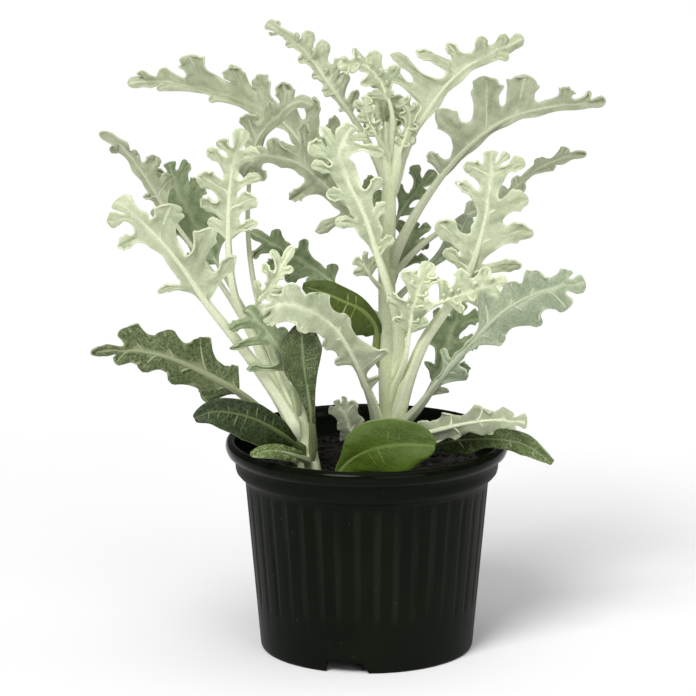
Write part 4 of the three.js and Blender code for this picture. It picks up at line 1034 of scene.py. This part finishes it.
def ruffle(mesh, spec):
    """Quilt the blade between its veins, and let its margin roll and wave."""
    seed = len(spec["name"]) * 31 + ord(spec["name"][0])
    co, no = vectors(mesh, "co"), vectors(mesh, "normal")
    edge, vein = read(mesh, "margin"), read(mesh, "vein")
    mm = co * 1000
    rim_height, quilt, soft = LOBED_WAVES if "lobes" in spec else PLAIN_WAVES
    rim_height, quilt = rim_height * spec.get("calm", 1), quilt * spec.get("calm", 1)
    lift = rim_height * edge**1.5 * waves(mm, 13, seed) + soft * waves(mm, 22, seed + 1)
    lift += quilt * (1 - vein) * (1 - edge) * (0.7 + 0.6 * waves(mm, 6, seed + 2))
    lift *= 1 - 0.8 * vein**2
    mesh.vertices.foreach_set("co", (co + no * (lift / 1000)[:, None]).ravel())
    mesh.update()


# %% [markdown]
# One round of subdivision turns the cage into a soft outline. Then it is ruffled, a solidify modifier gives
# it the thickness of a felted leaf, and a second round makes its margin round too.

# %% A whole leaf as one mesh
BLADE = 0.95  # thickness of the felted blade before rounding, mm


def rounded(obj):
    """Add one level of subdivision."""
    step = obj.modifiers.new("round", "SUBSURF")
    step.levels = 1
    step.render_levels = 1


def leaf_mesh(spec, hair_density):
    """The sheet thickened and subdivided, with its tubes and hairs as part of the same mesh."""
    sheet, tubes = lobed_leaf(spec) if "lobes" in spec else plain_leaf(spec)
    name = spec["name"]
    cage = new_mesh(name + "_cage", sheet.points, sheet.faces, margin=sheet.edge, vein=sheet.vein)
    obj = new_object(name + "_cage", cage)
    rounded(obj)
    bake(obj)
    ruffle(obj.data, spec)
    solid = obj.modifiers.new("thickness", "SOLIDIFY")
    solid.thickness = BLADE / 1000
    solid.offset = 0
    solid.use_even_offset = False
    solid.use_quality_normals = True
    rounded(obj)
    bake(obj)
    fine = obj.data
    co = (vectors(fine, "co") - SHIFT) * 1000
    blade_faces = [tuple(p.vertices) for p in fine.polygons]
    parts = [(co, blade_faces, read(fine, "margin"), read(fine, "vein"), fold_of(fine))]
    for path, radii, around, ribs in tubes:
        parts.append((*tube(path, radii, around, ribs), 0.0, 0.8 if around == FRILL_SIDES else 1.0, 0.62))
    whole = joined(parts)
    if hair_density:
        whole = joined([whole, (*hairs(*whole[:2], hair_density), 0.3, 0.3, 0.58)])
    bpy.data.objects.remove(obj)
    bpy.data.meshes.remove(fine)
    points, faces, margin, vein, fold = whole
    return new_mesh(name + "_fine", points, faces, margin=margin, vein=vein, fold=fold)


# %% [markdown]
# ## Materials
# All colours come from nodes that read the object's own coordinates and the numbers on its points. A short
# helper keeps a material's nodes and links together, so that a finish below reads as a recipe: a noise, a
# ramp that turns it into colour, and one mix for each layer of the surface.

# %% A helper for material recipes


class Finish:
    """A material in the making; colours are tuples and a plain number stands for a grey."""

    def __init__(self, name):
        self.material = bpy.data.materials.new(name)
        self.material.use_nodes = True
        self.tree = self.material.node_tree
        self.shader = next(n for n in self.tree.nodes if n.type == "BSDF_PRINCIPLED")
        self.place = self.node("TexCoord", {}).outputs["Object"]

    def set(self, node, inputs):
        """Give a node's inputs a number or a tuple, or link another node's output to them."""
        for key, value in inputs.items():
            if isinstance(value, bpy.types.NodeSocket):
                self.tree.links.new(value, node.inputs[key])
            else:
                node.inputs[key].default_value = value

    def node(self, kind, inputs, **settings):
        """Add a node with its inputs and its settings."""
        node = self.tree.nodes.new("ShaderNode" + kind)
        for key, value in settings.items():
            setattr(node, key, value)
        self.set(node, inputs)
        return node

    def noise(self, scale, detail, rough=0.55, place=None, output="Fac"):
        """A noise in the object's own space."""
        inputs = {"Vector": place or self.place, "Scale": scale, "Detail": detail, "Roughness": rough}
        return self.node("TexNoise", inputs).outputs[output]

    def number(self, name, output="Fac"):
        """The number that the mesh's points carry under a name."""
        return self.node("Attribute", {}, attribute_name=name).outputs[output]

    def ramp(self, source, *stops):
        """Colours or greys for rising values; a stop is a value and its colour."""
        node = self.node("ValToRGB", {"Fac": source})
        bar = node.color_ramp
        while len(bar.elements) < len(stops):
            bar.elements.new(0.5)
        for slot, (value, tone) in zip(bar.elements, stops):
            slot.position = value
            slot.color = (*colour(tone), 1)
        return node.outputs["Color"]

    def mix(self, factor, a, b, blend="MIX"):
        """Colour b laid over colour a, by a factor."""
        inputs = {0: factor, 6: a, 7: b if isinstance(b, bpy.types.NodeSocket) else (*colour(b), 1)}
        return self.node("Mix", inputs, data_type="RGBA", blend_type=blend).outputs[2]

    def times(self, a, b):
        """Two colours multiplied."""
        return self.mix(1.0, a, b, "MULTIPLY")

    def math(self, operation, a, b=0.0):
        """One step of arithmetic on numbers or outputs."""
        return self.node("Math", {0: a, 1: b}, operation=operation).outputs[0]

    def vector(self, operation, *values):
        """Arithmetic on vectors, each an output or three numbers."""
        return self.node("VectorMath", dict(enumerate(values)), operation=operation).outputs["Vector"]

    def done(self, tone, values, heights):
        """Colour, the shader's own values, and bumps as (height, distance in metres, strength)."""
        bump = None
        for height, distance, strength in heights:
            inputs = {"Distance": distance, "Strength": strength, "Height": height}
            bump = self.node("Bump", inputs | ({"Normal": bump} if bump else {})).outputs["Normal"]
        self.set(self.shader, {"Base Color": tone, **values, "Normal": bump})
        return self.material


def colour(tone):
    """A colour as it is, or a number as a grey."""
    return tone if isinstance(tone, tuple) else (tone,) * 3


# %% [markdown]
# The white of a dusty miller is a felt of fine hairs over a green leaf. The felt is matt with a soft sheen at
# grazing angles. Margins and veins carry the thickest felt and are palest; between them the green shows
# through. `mottle` says how much of it shows, and `flecks` how fine the worn spots are.

# %% Felted leaf


def felt(name, pale, mid, deep, mottle, sheen, flecks=230):
    """Felt over a leaf: pale on veins and margins, deep where the felt is thin, painted shade in creases."""
    finish = Finish(name)
    soft, fine, worn = finish.noise(60, 3), finish.noise(1100, 4, 0.7), finish.noise(flecks, 5, 0.7)
    mean = tuple(0.5 * (a + b) for a, b in zip(mid, pale))
    thin = finish.ramp(worn, (0.52 - mottle * 0.2, 0), (0.7 - mottle * 0.1, 1))
    tone = finish.mix(finish.times(thin, mottle), finish.ramp(soft, (0.34, mid), (0.66, mean)), deep)
    tone = finish.mix(finish.ramp(finish.number("vein"), (0.72, 0), (1, 0.85)), tone, pale)
    tone = finish.mix(finish.ramp(finish.number("margin"), (0.72, 0), (1, 0.5)), tone, pale)
    fuzz = finish.ramp(fine, (0.35, 0.84), (0.65, 1))
    # painted shade in the creases and a faint painted highlight on the ridges, read from the fold number
    painted_fold_shade = finish.ramp(
        finish.number("fold"),
        (0.22, (0.38, 0.43, 0.31)), (0.5, (0.93, 0.93, 0.92)), (0.72, (1.06, 1.06, 1.04)))
    # the tone attribute: partly the leaf's own colour, partly painted shade below one and painted light above
    for layer in (fuzz, painted_fold_shade, finish.number("tone", "Color")):
        tone = finish.times(tone, layer)
    values = {
        "Roughness": 0.88, "Specular IOR Level": 0.15,
        "Sheen Weight": sheen, "Sheen Roughness": 0.5, "Sheen Tint": (0.85, 1.0, 0.75, 1),
    }
    return finish.done(tone, values, [(worn, 0.0004, 0.5), (fine, 0.00012, 0.6)])


FELT = felt("felted leaf", (0.80, 0.84, 0.61), (0.47, 0.53, 0.35), (0.29, 0.345, 0.185), 0.32, 0.1)
# a darker felt, mostly for leaves that lie back: partly their own greyer felt, partly painted shade
GREY_AND_PAINTED_SHADE = felt("grey leaf", (0.40, 0.46, 0.29), (0.22, 0.28, 0.15), (0.10, 0.14, 0.06), 0.6, 0.1)
OLD = felt("mottled leaf", (0.34, 0.385, 0.22), (0.16, 0.20, 0.09), (0.04, 0.06, 0.018), 0.9, 0.06, 900)
WORN = felt("worn leaf", (0.58, 0.63, 0.46), (0.34, 0.40, 0.27), (0.20, 0.25, 0.15), 0.55, 0.08, 900)
STEM = felt("felted stem", (0.84, 0.89, 0.66), (0.68, 0.75, 0.48), (0.48, 0.56, 0.30), 0.3, 0.12)
print("felted finishes:", [m.name for m in (FELT, GREY_AND_PAINTED_SHADE, OLD, WORN, STEM)])

# %% [markdown]
# The first leaves of a young plant are nearly bare. Their skin is smooth and dark between a net of fine paler
# lines, which a cell pattern gives once a noise has stirred its straight edges. The net is broken up in
# patches.

# %% Smooth green leaves
STIR = 0.0022  # how far the noise moves the cells' edges, metres


def green(name, dark, light, vein, net, rough, cells=420):
    """A smooth leaf: a darker body, a fine net of so many cells to the metre and paler veins."""
    finish = Finish(name)
    soft = finish.noise(70, 3)
    stir = finish.noise(500, 2, 0.6, output="Color")
    stirred = finish.vector("MULTIPLY_ADD", stir, (STIR,) * 3, finish.place)
    cell = finish.node("TexVoronoi", {"Scale": cells, "Vector": stirred}, feature="DISTANCE_TO_EDGE")
    edge = cell.outputs["Distance"]
    lines = finish.ramp(edge, (0, net), (0.16, 0))
    patches = finish.ramp(finish.noise(190, 3, 0.6), (0.35, 0.25), (0.62, 1))
    tone = finish.mix(finish.times(lines, patches), finish.ramp(soft, (0.3, dark), (0.72, light)), vein)
    tone = finish.mix(finish.ramp(finish.number("vein"), (0.75, 0), (1, 0.8)), tone, vein)
    tone = finish.mix(finish.ramp(finish.number("margin"), (0.8, 0), (1, 0.5)), tone, vein)
    values = {"Roughness": rough, "Specular IOR Level": 0.4}
    return finish.done(tone, values, [(edge, 0.0005, 0.45), (soft, 0.001, 0.3)])


GREEN = green("green leaf", (0.05, 0.09, 0.008), (0.09, 0.145, 0.018), (0.17, 0.25, 0.055), 0.16, 0.36)
DARK = green("dark leaf", (0.006, 0.014, 0.001), (0.018, 0.034, 0.005), (0.13, 0.175, 0.06), 0.4, 0.5, 520)
RIMMED = green("rimmed leaf", (0.05, 0.08, 0.012), (0.12, 0.17, 0.04), (0.45, 0.53, 0.28), 0.8, 0.55, 700)
SPOON = green("spoon leaf", (0.028, 0.045, 0.009), (0.065, 0.09, 0.026), (0.24, 0.29, 0.14), 0.6, 0.6, 800)
STRIPED = green("striped leaf", (0.035, 0.06, 0.008), (0.10, 0.15, 0.03), (0.34, 0.40, 0.22), 0.6, 0.5, 800)
DEEP = green("deep leaf", (0.032, 0.055, 0.003), (0.08, 0.12, 0.01), (0.25, 0.32, 0.1), 0.12, 0.42)
print("smooth finishes:", [m.name for m in (GREEN, DARK, RIMMED, SPOON, STRIPED, DEEP)])

# %% [markdown]
# ## Growing the leaves
# Every leaf of the table is grown from its midrib and lobe tips and gets its look: a finish, the name of the
# material slot that it belongs to, which here only picks out the felted leaves, and how many felt hairs
# stand on a square millimetre. Each leaf's tone is partly its own colour, partly painted shade where it is
# below one and painted light where it is above. Felted stalks turn cream towards the soil, so the tone rises
# there on the points that are all vein; this rise is partly their own cream and partly painted light against
# the shade low among the stalks.

# %% Grow every leaf
LOOKS = {
    "felt": (FELT, "felted_leaf", 0.9), "grey": (GREY_AND_PAINTED_SHADE, "grey_leaf", 0.7),
    "old": (OLD, "mottled_leaf", 0.6), "worn": (WORN, "mottled_leaf", 0.6),
    "half_bare": (WORN, "green_leaf", 0), "green": (GREEN, "green_leaf", 0), "dark": (DARK, "green_leaf", 0),
    "rimmed": (RIMMED, "green_leaf", 0), "spoon": (SPOON, "green_leaf", 0),
    "striped": (STRIPED, "green_leaf", 0), "deep": (DEEP, "green_leaf", 0),
}
# the stalks' paler feet are partly their own cream and partly painted light against the shade among them
CREAM_AND_LIGHT_FROM, CREAM_AND_LIGHT_OVER = 175, 70  # stalks turn cream below this height, over this many millimetres

total = 0
for spec in LEAVES:
    finish, slot_name, hair_density = LOOKS[spec.get("look", "felt")]
    mesh = leaf_mesh(spec, hair_density)
    add_piece(mesh, finish, spec["name"])
    # the tone is partly the leaf's own colour, partly painted shade (below one) and painted light (above)
    tone_and_painted_light = np.full(len(mesh.vertices), spec.get("tone", 1.0))
    if slot_name == "felted_leaf":
        high = np.array([v.co.z for v in mesh.vertices]) * 1000
        stalk = read(mesh, "vein") > 0.95
        tone_and_painted_light *= 1 + 0.28 * np.clip((CREAM_AND_LIGHT_FROM - high) / CREAM_AND_LIGHT_OVER, 0, 1) * stalk
    write(mesh, "tone", tone_and_painted_light)
    total += sum(len(p.vertices) - 2 for p in mesh.polygons)
print(len(LEAVES), "leaves,", total, "triangles")

# %% [markdown]
# ## Stems
# A stem is thick, felted and slightly ribbed, with a ridge running down from the foot of each stalk. The tall
# stem ends in its growing tip: pale sheaths that clasp each other, and the beaded edge of a leaf still rolled
# up.

# %% The growing tip
# each sheath's way out across and in depth, its top and its radius
SHEATHS = ((-2.2, -2.4, 226, 2.3), (2.4, -2.0, 224, 2.2), (0.4, 2.6, 228, 2.4), (-3.2, 1.2, 222, 1.7))
ROLLED_EDGE = ((7.2, 7.5, 206), (5.4, 6.6, 218), (4.2, 6.2, 228), (3.6, 6.6, 237))
ROLLED_LENGTH, BEAD = 31, 2.6  # of the rolled edge and from bead to bead, mm


def growing_tip():
    """Tubes for the sheaths and for the beaded edge."""
    pieces = []
    for x, y, top, r in SHEATHS:
        path = spline([
            (9.6, 9, 192), (9.8 + 0.8 * x, 9 + 0.8 * y, 204), (10 + x, 9 + y, 0.5 * (204 + top)),
            (10.2 + 0.9 * x, 9 + 0.9 * y, top - 3), (10.4 + 1.3 * x, 9 + 1.3 * y, top)], 6)
        far = np.linspace(0, 1, len(path))
        radii = r * np.interp(far, [0, 0.3, 0.6, 0.85, 1], [0.6, 1, 0.95, 0.6, 0.15])
        pieces.append(tube(path, radii, 20, 4))
    path = spline(ROLLED_EDGE, 14)
    along = np.linspace(0, ROLLED_LENGTH, len(path))
    beads = 0.75 + 0.55 * np.abs(np.sin(along * math.pi / BEAD))
    pieces.append(tube(path, beads * np.interp(along, [0, 10, 26, ROLLED_LENGTH], [0.7, 1, 1, 0.5]), 12))
    return pieces


print("growing tip of", len(growing_tip()), "tubes")

# %% Stems
STEM_SIDES = 36
RIDGE = 34  # length of the ridge below a stalk's foot, mm


def stem_mesh(side):
    """The stem with a ridge running down from the foot of each of its stalks."""
    name, rows = side + "_stem", STEMS[side]
    path = spline([r[:3] for r in rows], 16)
    far = np.linspace(0, 1, len(path))
    radii = np.interp(far, np.linspace(0, 1, len(rows)), [r[3] for r in rows])
    feet = []
    for spec in LEAVES:
        if spec["stem"] == side:
            foot = rooted(spec)[0]
            here = stem_at(rows, foot[2])
            feet.append((foot[2], math.atan2(foot[1] - here[1], foot[0] - here[0]), spec["stalk"]))
    points = []
    phase = random.Random(name).uniform(0, 6.28)
    for k, (p, r) in enumerate(zip(path, radii)):
        for s in range(STEM_SIDES):
            turn = 2 * math.pi * s / STEM_SIDES
            swell = 1 + 0.03 * math.sin(5 * turn + phase) + 0.015 * math.sin(far[k] * 40 + 2 * turn)
            for z, angle, stalk in feet:
                below = z - p[2]
                if -2 < below < RIDGE:
                    away = math.remainder(turn - angle, 2 * math.pi)
                    swell += 0.2 * stalk / r * math.exp(-((away / 0.42) ** 2)) * (1 - abs(below) / RIDGE)
            points.append(p + r * swell * np.array([math.cos(turn), math.sin(turn), 0]))
    top, last = len(points), (len(path) - 1) * STEM_SIDES
    points.append(path[-1] + np.array([0, 0, radii[-1] * 0.8]))
    faces = ring_faces(len(path), STEM_SIDES) + [tuple(reversed(range(STEM_SIDES)))]
    faces += [(last + s, last + (s + 1) % STEM_SIDES, top) for s in range(STEM_SIDES)]
    parts = [(points, faces, 0.0, 0.35, 0.6)]
    if side == "right":
        parts += [(*piece, 0.0, 0.9, 0.6) for piece in growing_tip()]
    whole = joined(parts)
    points, faces, margin, vein, fold = joined([whole, (*hairs(*whole[:2], 0.9), 0.3, 0.3, 0.6)])
    mesh = new_mesh(name + "_fine", points, faces, margin=margin, vein=vein, fold=fold)
    # painted shade: darker among the leaves, where their shade falls; pale near the soil and at the tip
    write(mesh, "tone", np.interp([p[2] for p in points], [78, 90, 150, 190], [0.95, 1.0, 0.72, 1.0]))
    return mesh


for side in STEMS:
    stem = add_piece(stem_mesh(side), STEM, side + "_stem")
    print(stem.name, len(stem.data.polygons), "faces")

# %% [markdown]
# ## The pot
# A thin moulded pot: a rolled lip, a collar with a step under it, and a slightly tapered wall with shallow
# upright flutes. It stands on a foot ring. One outline turned about the axis gives all of it, and only the
# radii of the fluted stretch change on the way round.

# %% Pot wall
FLUTES, FLUTE_DEPTH = 38, 0.5
AROUND = FLUTES * 10
FLUTE_LOW, FLUTE_HIGH = 19.5, 73  # where the flutes fade out, mm
WALL_FOOT, WALL_TOP = (45.4, 2.6), (51.7, 73.5)  # radius and height at both ends of the tapered wall
WALL_THICKNESS = 1.3


def wall(z, inside=0.0):
    """The tapered wall's radius and height, so far inside its outer face."""
    (low, foot), (high, top) = WALL_FOOT, WALL_TOP
    return low + (high - low) * (z - foot) / (top - foot) - inside, z


OUTLINE = [
    (41.6, 0.0), (44.2, 0.0), (44.9, 0.35), (45.25, 1.2),
    *(wall(z) for z in (3.2, 10, FLUTE_LOW, 22, 26, 34, 46, 58, 67, 71, 73.2)),
    (52.3, 74.4), (53.4, 75.4), (54.6, 76.3), (55.4, 77.3), (55.75, 78.6),
    (55.8, 80.5), (55.8, 82.6), (56.3, 83.3), (57.8, 84.1), (59.1, 85.1), (59.8, 86.6), (60.0, 88.0),
    (59.8, 89.3), (59.1, 90.4), (58.1, 90.95), (57.0, 90.8), (56.2, 90.2), (55.4, 88.6), (54.6, 85.0),
    (54.5, 79.6), (53.6, 77.6), (50.9, 75.2), *(wall(z, WALL_THICKNESS) for z in (73, 40, 8)),
    (42.6, 6.5), (20.0, 6.3), (0.0, 6.3),
    (0.0, 5.1), (30.0, 5.1), (40.6, 5.1), (41.4, 4.4), (41.6, 3.0),
]
FLUTED_ROWS = range(6, 14)  # the outline's points on the outer face of the fluted stretch


def fluted(r, z, turn):
    """The wall's radius with its shallow rounded flutes between two heights."""
    fade = min(1, max(0, (z - FLUTE_LOW) / 3.5)) * min(1, max(0, (FLUTE_HIGH - z) / 3))
    return r - FLUTE_DEPTH * fade * max(0.0, math.cos(FLUTES * turn)) ** 3


def turned_pot():
    """The outline turned about the pot's axis: points and faces."""
    points, faces = [], []
    for s in range(AROUND):
        turn = 2 * math.pi * s / AROUND
        for k, (r, z) in enumerate(OUTLINE):
            if k in FLUTED_ROWS:
                r = fluted(r, z, turn)
            points.append((r * math.cos(turn), r * math.sin(turn), z))
    n = len(OUTLINE)
    for s in range(AROUND):
        a, b = s * n, (s + 1) % AROUND * n
        for k in range(n):
            m = (k + 1) % n
            on_axis = OUTLINE[k][0] == 0, OUTLINE[m][0] == 0
            if on_axis == (True, False):
                faces.append((a + k, b + m, a + m))
            elif on_axis == (False, True):
                faces.append((a + k, b + k, a + m))
            elif on_axis == (False, False):
                faces.append((a + k, b + k, b + m, a + m))
    return points, faces


print("pot outline of", len(OUTLINE), "points, turned in", AROUND, "steps")

# %% [markdown]
# Three drain notches are cut through the foot ring, a third of a turn apart. Their outline has one steep and
# one slanted end. A weld modifier first joins the many points that lie on the pot's axis.

# %% Drain notches
NOTCHES, NOTCH_TURN = 3, math.radians(-101.5)
NOTCH_OUTLINE = [(-9, -1), (10, -1), (9.2, 1.5), (8, 3.4), (6, 4.6), (-7.4, 4.6), (-8.2, 3.8)]
NOTCH_REACH = (36, 52)  # radii between which a cutter lies


def cutter(turn):
    """A short bar with the notch's outline, which points away from the axis."""
    out = np.array([math.cos(turn), math.sin(turn), 0])
    left = np.array([-math.sin(turn), math.cos(turn), 0])
    points = [out * r + left * x + np.array([0, 0, z]) for r in NOTCH_REACH for x, z in NOTCH_OUTLINE]
    n = len(NOTCH_OUTLINE)
    faces = [(i, (i + 1) % n, (i + 1) % n + n, i + n) for i in range(n)]
    faces += [tuple(reversed(range(n))), tuple(range(n, 2 * n))]
    return new_object("cutter", new_mesh("cutter", points, faces))


def pot_mesh():
    """The turned pot with its notches cut."""
    pot = new_object("uncut_pot", new_mesh("uncut_pot", *turned_pot()))
    pot.modifiers.new("weld", "WELD").merge_threshold = 0.00001
    cutters = [cutter(NOTCH_TURN + k * 2 * math.pi / NOTCHES) for k in range(NOTCHES)]
    for bar in cutters:
        cut = pot.modifiers.new("notch", "BOOLEAN")
        cut.object = bar
        cut.solver = "EXACT"
    bake(pot)
    mesh = pot.data
    for used in (pot, *cutters):
        bpy.data.objects.remove(used)
    mesh.name = "pot_fine"
    return mesh


# %% [markdown]
# Nursery pots are black polypropylene: a dull shine, faint flow marks from the mould, a few dried splashes of
# soil water, a lighter band along each flute and a lip that hands and crates have polished.

# %% Pot plastic
BLACK, GREYER = (0.0024, 0.0038, 0.0016), (0.005, 0.007, 0.0036)
FLUTE_BAND, FILM, SPLASH = (0.0095, 0.0125, 0.0078), (0.10, 0.10, 0.085), (0.16, 0.14, 0.11)


def plastic():
    """Black plastic; heights are read in units of 100 mm."""
    finish = Finish("black plastic")
    flow, dust = finish.noise(18, 3), finish.noise(420, 5, 0.7)
    specks = finish.node("TexVoronoi", {"Scale": 150, "Vector": finish.place}).outputs["Distance"]
    tone = finish.ramp(flow, (0.35, BLACK), (0.7, GREYER))
    tone = finish.mix(finish.ramp(dust, (0.58, 0), (0.85, 0.06)), tone, FILM)
    # a lighter band along each flute, uneven and fading out above and below the fluted wall
    centred = finish.vector("SUBTRACT", finish.place, tuple(SHIFT))
    axes = finish.node("SeparateXYZ", {"Vector": centred}).outputs
    height = finish.math("MULTIPLY", axes["Z"], 10.0)
    turn = finish.math("ARCTAN2", axes["Y"], axes["X"])
    groove = finish.math("COSINE", finish.math("MULTIPLY", turn, float(FLUTES)))
    band = finish.ramp(groove, (0.1, 0), (0.75, 0.85))
    band = finish.times(band, finish.ramp(height, (0.2, 0), (0.26, 1), (0.7, 1), (0.74, 0)))
    streaks = finish.noise(120, 3, 0.6, finish.vector("MULTIPLY", finish.place, (1.0, 1.0, 0.12)))
    band = finish.times(band, finish.ramp(streaks, (0.36, 0.15), (0.62, 1)))
    tone = finish.mix(band, tone, FLUTE_BAND)
    tone = finish.mix(finish.ramp(specks, (0.02, 0.3), (0.06, 0)), tone, SPLASH)
    rough = finish.ramp(flow, (0.3, 0.4), (0.7, 0.52))
    rough = finish.times(rough, finish.ramp(height, (0.84, 1), (0.87, 0.2)))
    values = {"Roughness": rough, "Specular IOR Level": 0.055}
    return finish.done(tone, values, [(flow, 0.0006, 0.25), (dust, 0.00008, 0.35)])


pot = add_piece(pot_mesh(), plastic(), "pot")
print("pot with", len(pot.data.polygons), "faces")

# %% [markdown]
# ## The soil
# Potting mix is a crumbly surface of peat with bits of bark. The ground is one waved and roughened disc that
# rises a little round each stem, closed to a solid by a plain body below.

# %% Soil ground
SOIL_RADIUS, SOIL_LEVEL = 51.0, 78.2
SOIL_RINGS, SOIL_SIDES = 46, 150
SOIL_BODY = ((49.6, 74.4), (45.0, 20.0), (42.3, 6.8))  # radius and height of the rings below the surface
LEFT_FOOT, RIGHT_FOOT = (-24, -15), (10, 9)  # where the stems leave the soil


def on_circle(r, turn):
    """The x and y of a point at a radius and an angle."""
    return r * math.cos(turn), r * math.sin(turn)


def heaped(x, y, stem):
    """How much the soil is heaped up near a stem's foot, 0 to 1."""
    return math.exp(-((x - stem[0]) ** 2 + (y - stem[1]) ** 2) / 90)


def ground(chance):
    """The soil's surface and the body below it: points and faces."""
    points, faces, grid = [], [], {}
    for i in range(SOIL_RINGS + 1):
        r = SOIL_RADIUS * i / SOIL_RINGS
        for s in range(SOIL_SIDES if i else 1):
            x, y = on_circle(r, 2 * math.pi * s / SOIL_SIDES)
            z = SOIL_LEVEL + 0.8 * math.sin(x * 0.21 + 1) * math.cos(y * 0.17) + chance.uniform(-0.45, 0.45)
            z += 2.2 * heaped(x, y, LEFT_FOOT) + 1.8 * heaped(x, y, RIGHT_FOOT)
            z -= 1.2 * (r / SOIL_RADIUS) ** 8
            grid[i, s] = len(points)
            points.append((x, y, z))
    for i in range(1, SOIL_RINGS + 1):
        for s in range(SOIL_SIDES):
            t = (s + 1) % SOIL_SIDES
            if i == 1:
                faces.append((grid[0, 0], grid[1, s], grid[1, t]))
            else:
                faces.append((grid[i - 1, s], grid[i, s], grid[i, t], grid[i - 1, t]))
    above = len(points) - SOIL_SIDES
    for r, z in SOIL_BODY:
        below = len(points)
        for s in range(SOIL_SIDES):
            t = (s + 1) % SOIL_SIDES
            points.append((*on_circle(r, 2 * math.pi * s / SOIL_SIDES), z))
            faces.append((above + s, below + s, below + t, above + t))
        above = below
    faces.append(tuple(reversed(range(above, above + SOIL_SIDES))))
    return points, faces


# %% [markdown]
# The crumbs are small broken lumps of five sizes, some of them long, turned every way and half sunk in the
# ground. The soil is nearly black, partly its own dark colour and partly painted shade for the dark inside
# of the pot, with paler grains.

# %% Crumbs and the whole soil
CRUMBS, CRUMB_LEVEL = 900, 78.4
CRUMB_SIZES, CRUMB_STRETCH = [0.6, 0.8, 1.1, 1.5, 2.1], [1, 1, 1.6, 2.2]
BOX = [(-1, -1, -1), (1, -1, -1), (1, 1, -1), (-1, 1, -1), (-1, -1, 1), (1, -1, 1), (1, 1, 1), (-1, 1, 1)]
BOX_FACES = ((0, 3, 2, 1), (4, 5, 6, 7), (0, 1, 5, 4), (1, 2, 6, 5), (2, 3, 7, 6), (3, 0, 4, 7))


def crumb(chance):
    """The eight corners of one broken lump somewhere on the ground."""
    x, y = on_circle(50 * math.sqrt(chance.random()), chance.uniform(0, 2 * math.pi))
    centre = np.array([x, y, CRUMB_LEVEL + chance.uniform(-0.3, 0.5)])
    centre[2] += 2.0 * heaped(x, y, LEFT_FOOT)
    size = chance.choice(CRUMB_SIZES)
    spin, _ = np.linalg.qr([[chance.gauss(0, 1) for _ in range(3)] for _ in range(3)])
    long = chance.choice(CRUMB_STRETCH)
    corners = []
    for v in BOX:
        w = np.array(v) * size * 0.5 * np.array([long, 1, chance.uniform(0.5, 1)]) * chance.uniform(0.7, 1.15)
        corners.append(tuple(centre + spin @ w))
    return corners


def soil_mesh():
    """The ground with its crumbs as one mesh."""
    chance = random.Random("soil")
    points, faces = ground(chance)
    for _ in range(CRUMBS):
        faces += [tuple(len(points) + i for i in face) for face in BOX_FACES]
        points += crumb(chance)
    return new_mesh("soil_fine", points, faces)


def earth_in_painted_shade():
    """Potting mix, nearly black: partly its own colour, partly painted shade inside the pot."""
    finish = Finish("potting soil")
    big, small = finish.noise(260, 4, 0.6), finish.noise(1100, 4, 0.7)
    # painted shade with the soil's own dark colour: nearly black, with paler grains
    tone = finish.ramp(
        big, (0.3, (0.002, 0.0015, 0.001)), (0.6, (0.007, 0.005, 0.0035)), (0.84, (0.03, 0.022, 0.014)))
    return finish.done(tone, {"Roughness": 0.95}, [(big, 0.0015, 0.8), (small, 0.0004, 0.8)])


soil = add_piece(soil_mesh(), earth_in_painted_shade(), "soil")
for p in soil.data.polygons:
    p.use_smooth = False
print("soil with", len(soil.data.polygons), "faces and", CRUMBS, "crumbs")

# %% [markdown]
# ## Stage, light and camera
# A pale floor and a pale, dim surround. The main light is a large soft one from the front left. A weaker and
# softer one comes low from the front right, and a third from nearly overhead.

# %% Floor, surround and lights
FLOOR_HALF, LIGHT_DISTANCE = 14.0, 2  # metres


def stage():
    """The floor, which isn't part of the plant, and the surround."""
    finish = Finish("studio floor")
    finish.set(finish.shader, {
        "Base Color": (0.93, 0.93, 0.93, 1), "Roughness": 0.9, "Specular IOR Level": 0.1})
    mesh = bpy.data.meshes.new("floor")
    h = FLOOR_HALF
    mesh.from_pydata([(-h, -h, 0), (h, -h, 0), (h, h, 0), (-h, h, 0)], [], [(0, 1, 2, 3)])
    mesh.materials.append(finish.material)
    floor = new_object("floor", mesh)
    world = bpy.data.worlds.new("surround")
    world.use_nodes = True
    back = world.node_tree.nodes["Background"]
    back.inputs["Color"].default_value = (1, 1, 1, 1)
    back.inputs["Strength"].default_value = 0.17
    bpy.context.scene.world = world


def sun(name, azimuth, elevation, spread, power):
    """A distant soft light from a compass direction (0 is the front) and a height in degrees."""
    light = bpy.data.lights.new(name, "SUN")
    light.angle = math.radians(spread)
    light.energy = power
    a, e = math.radians(azimuth), math.radians(elevation)
    place = Vector((math.sin(a) * math.cos(e), -math.cos(a) * math.cos(e), math.sin(e)))
    obj = new_object(name, light)
    obj.location = place * LIGHT_DISTANCE
    obj.rotation_euler = (-place).to_track_quat("-Z", "Y").to_euler()
    print(name, "light of strength", power, "from", azimuth, "degrees round and", elevation, "up")


stage()
sun("key", -26, 46, 24, 2.5)
sun("fill", 28, 22, 40, 0.75)
sun("top", 60, 78, 60, 0.9)

# %% [markdown]
# The camera stands at the eye that the leaves were laid out for and looks slightly down. Its long lens hardly
# changes the size of a leaf with its depth.

# %% Camera
LENS, SENSOR, TILT = 252.0, 36.0, 13.5  # mm, mm, and degrees down

view = bpy.data.cameras.new("camera")
view.lens = LENS
view.sensor_width = SENSOR
view.clip_end = 60
camera = new_object("camera", view)
camera.location = Vector(metres(EYE))
camera.rotation_euler = (math.radians(90 - TILT), 0, 0)
bpy.context.scene.camera = camera
bpy.context.scene.view_settings.view_transform = "Standard"
print("camera", [round(v, 3) for v in camera.location], "with a", LENS, "mm lens")
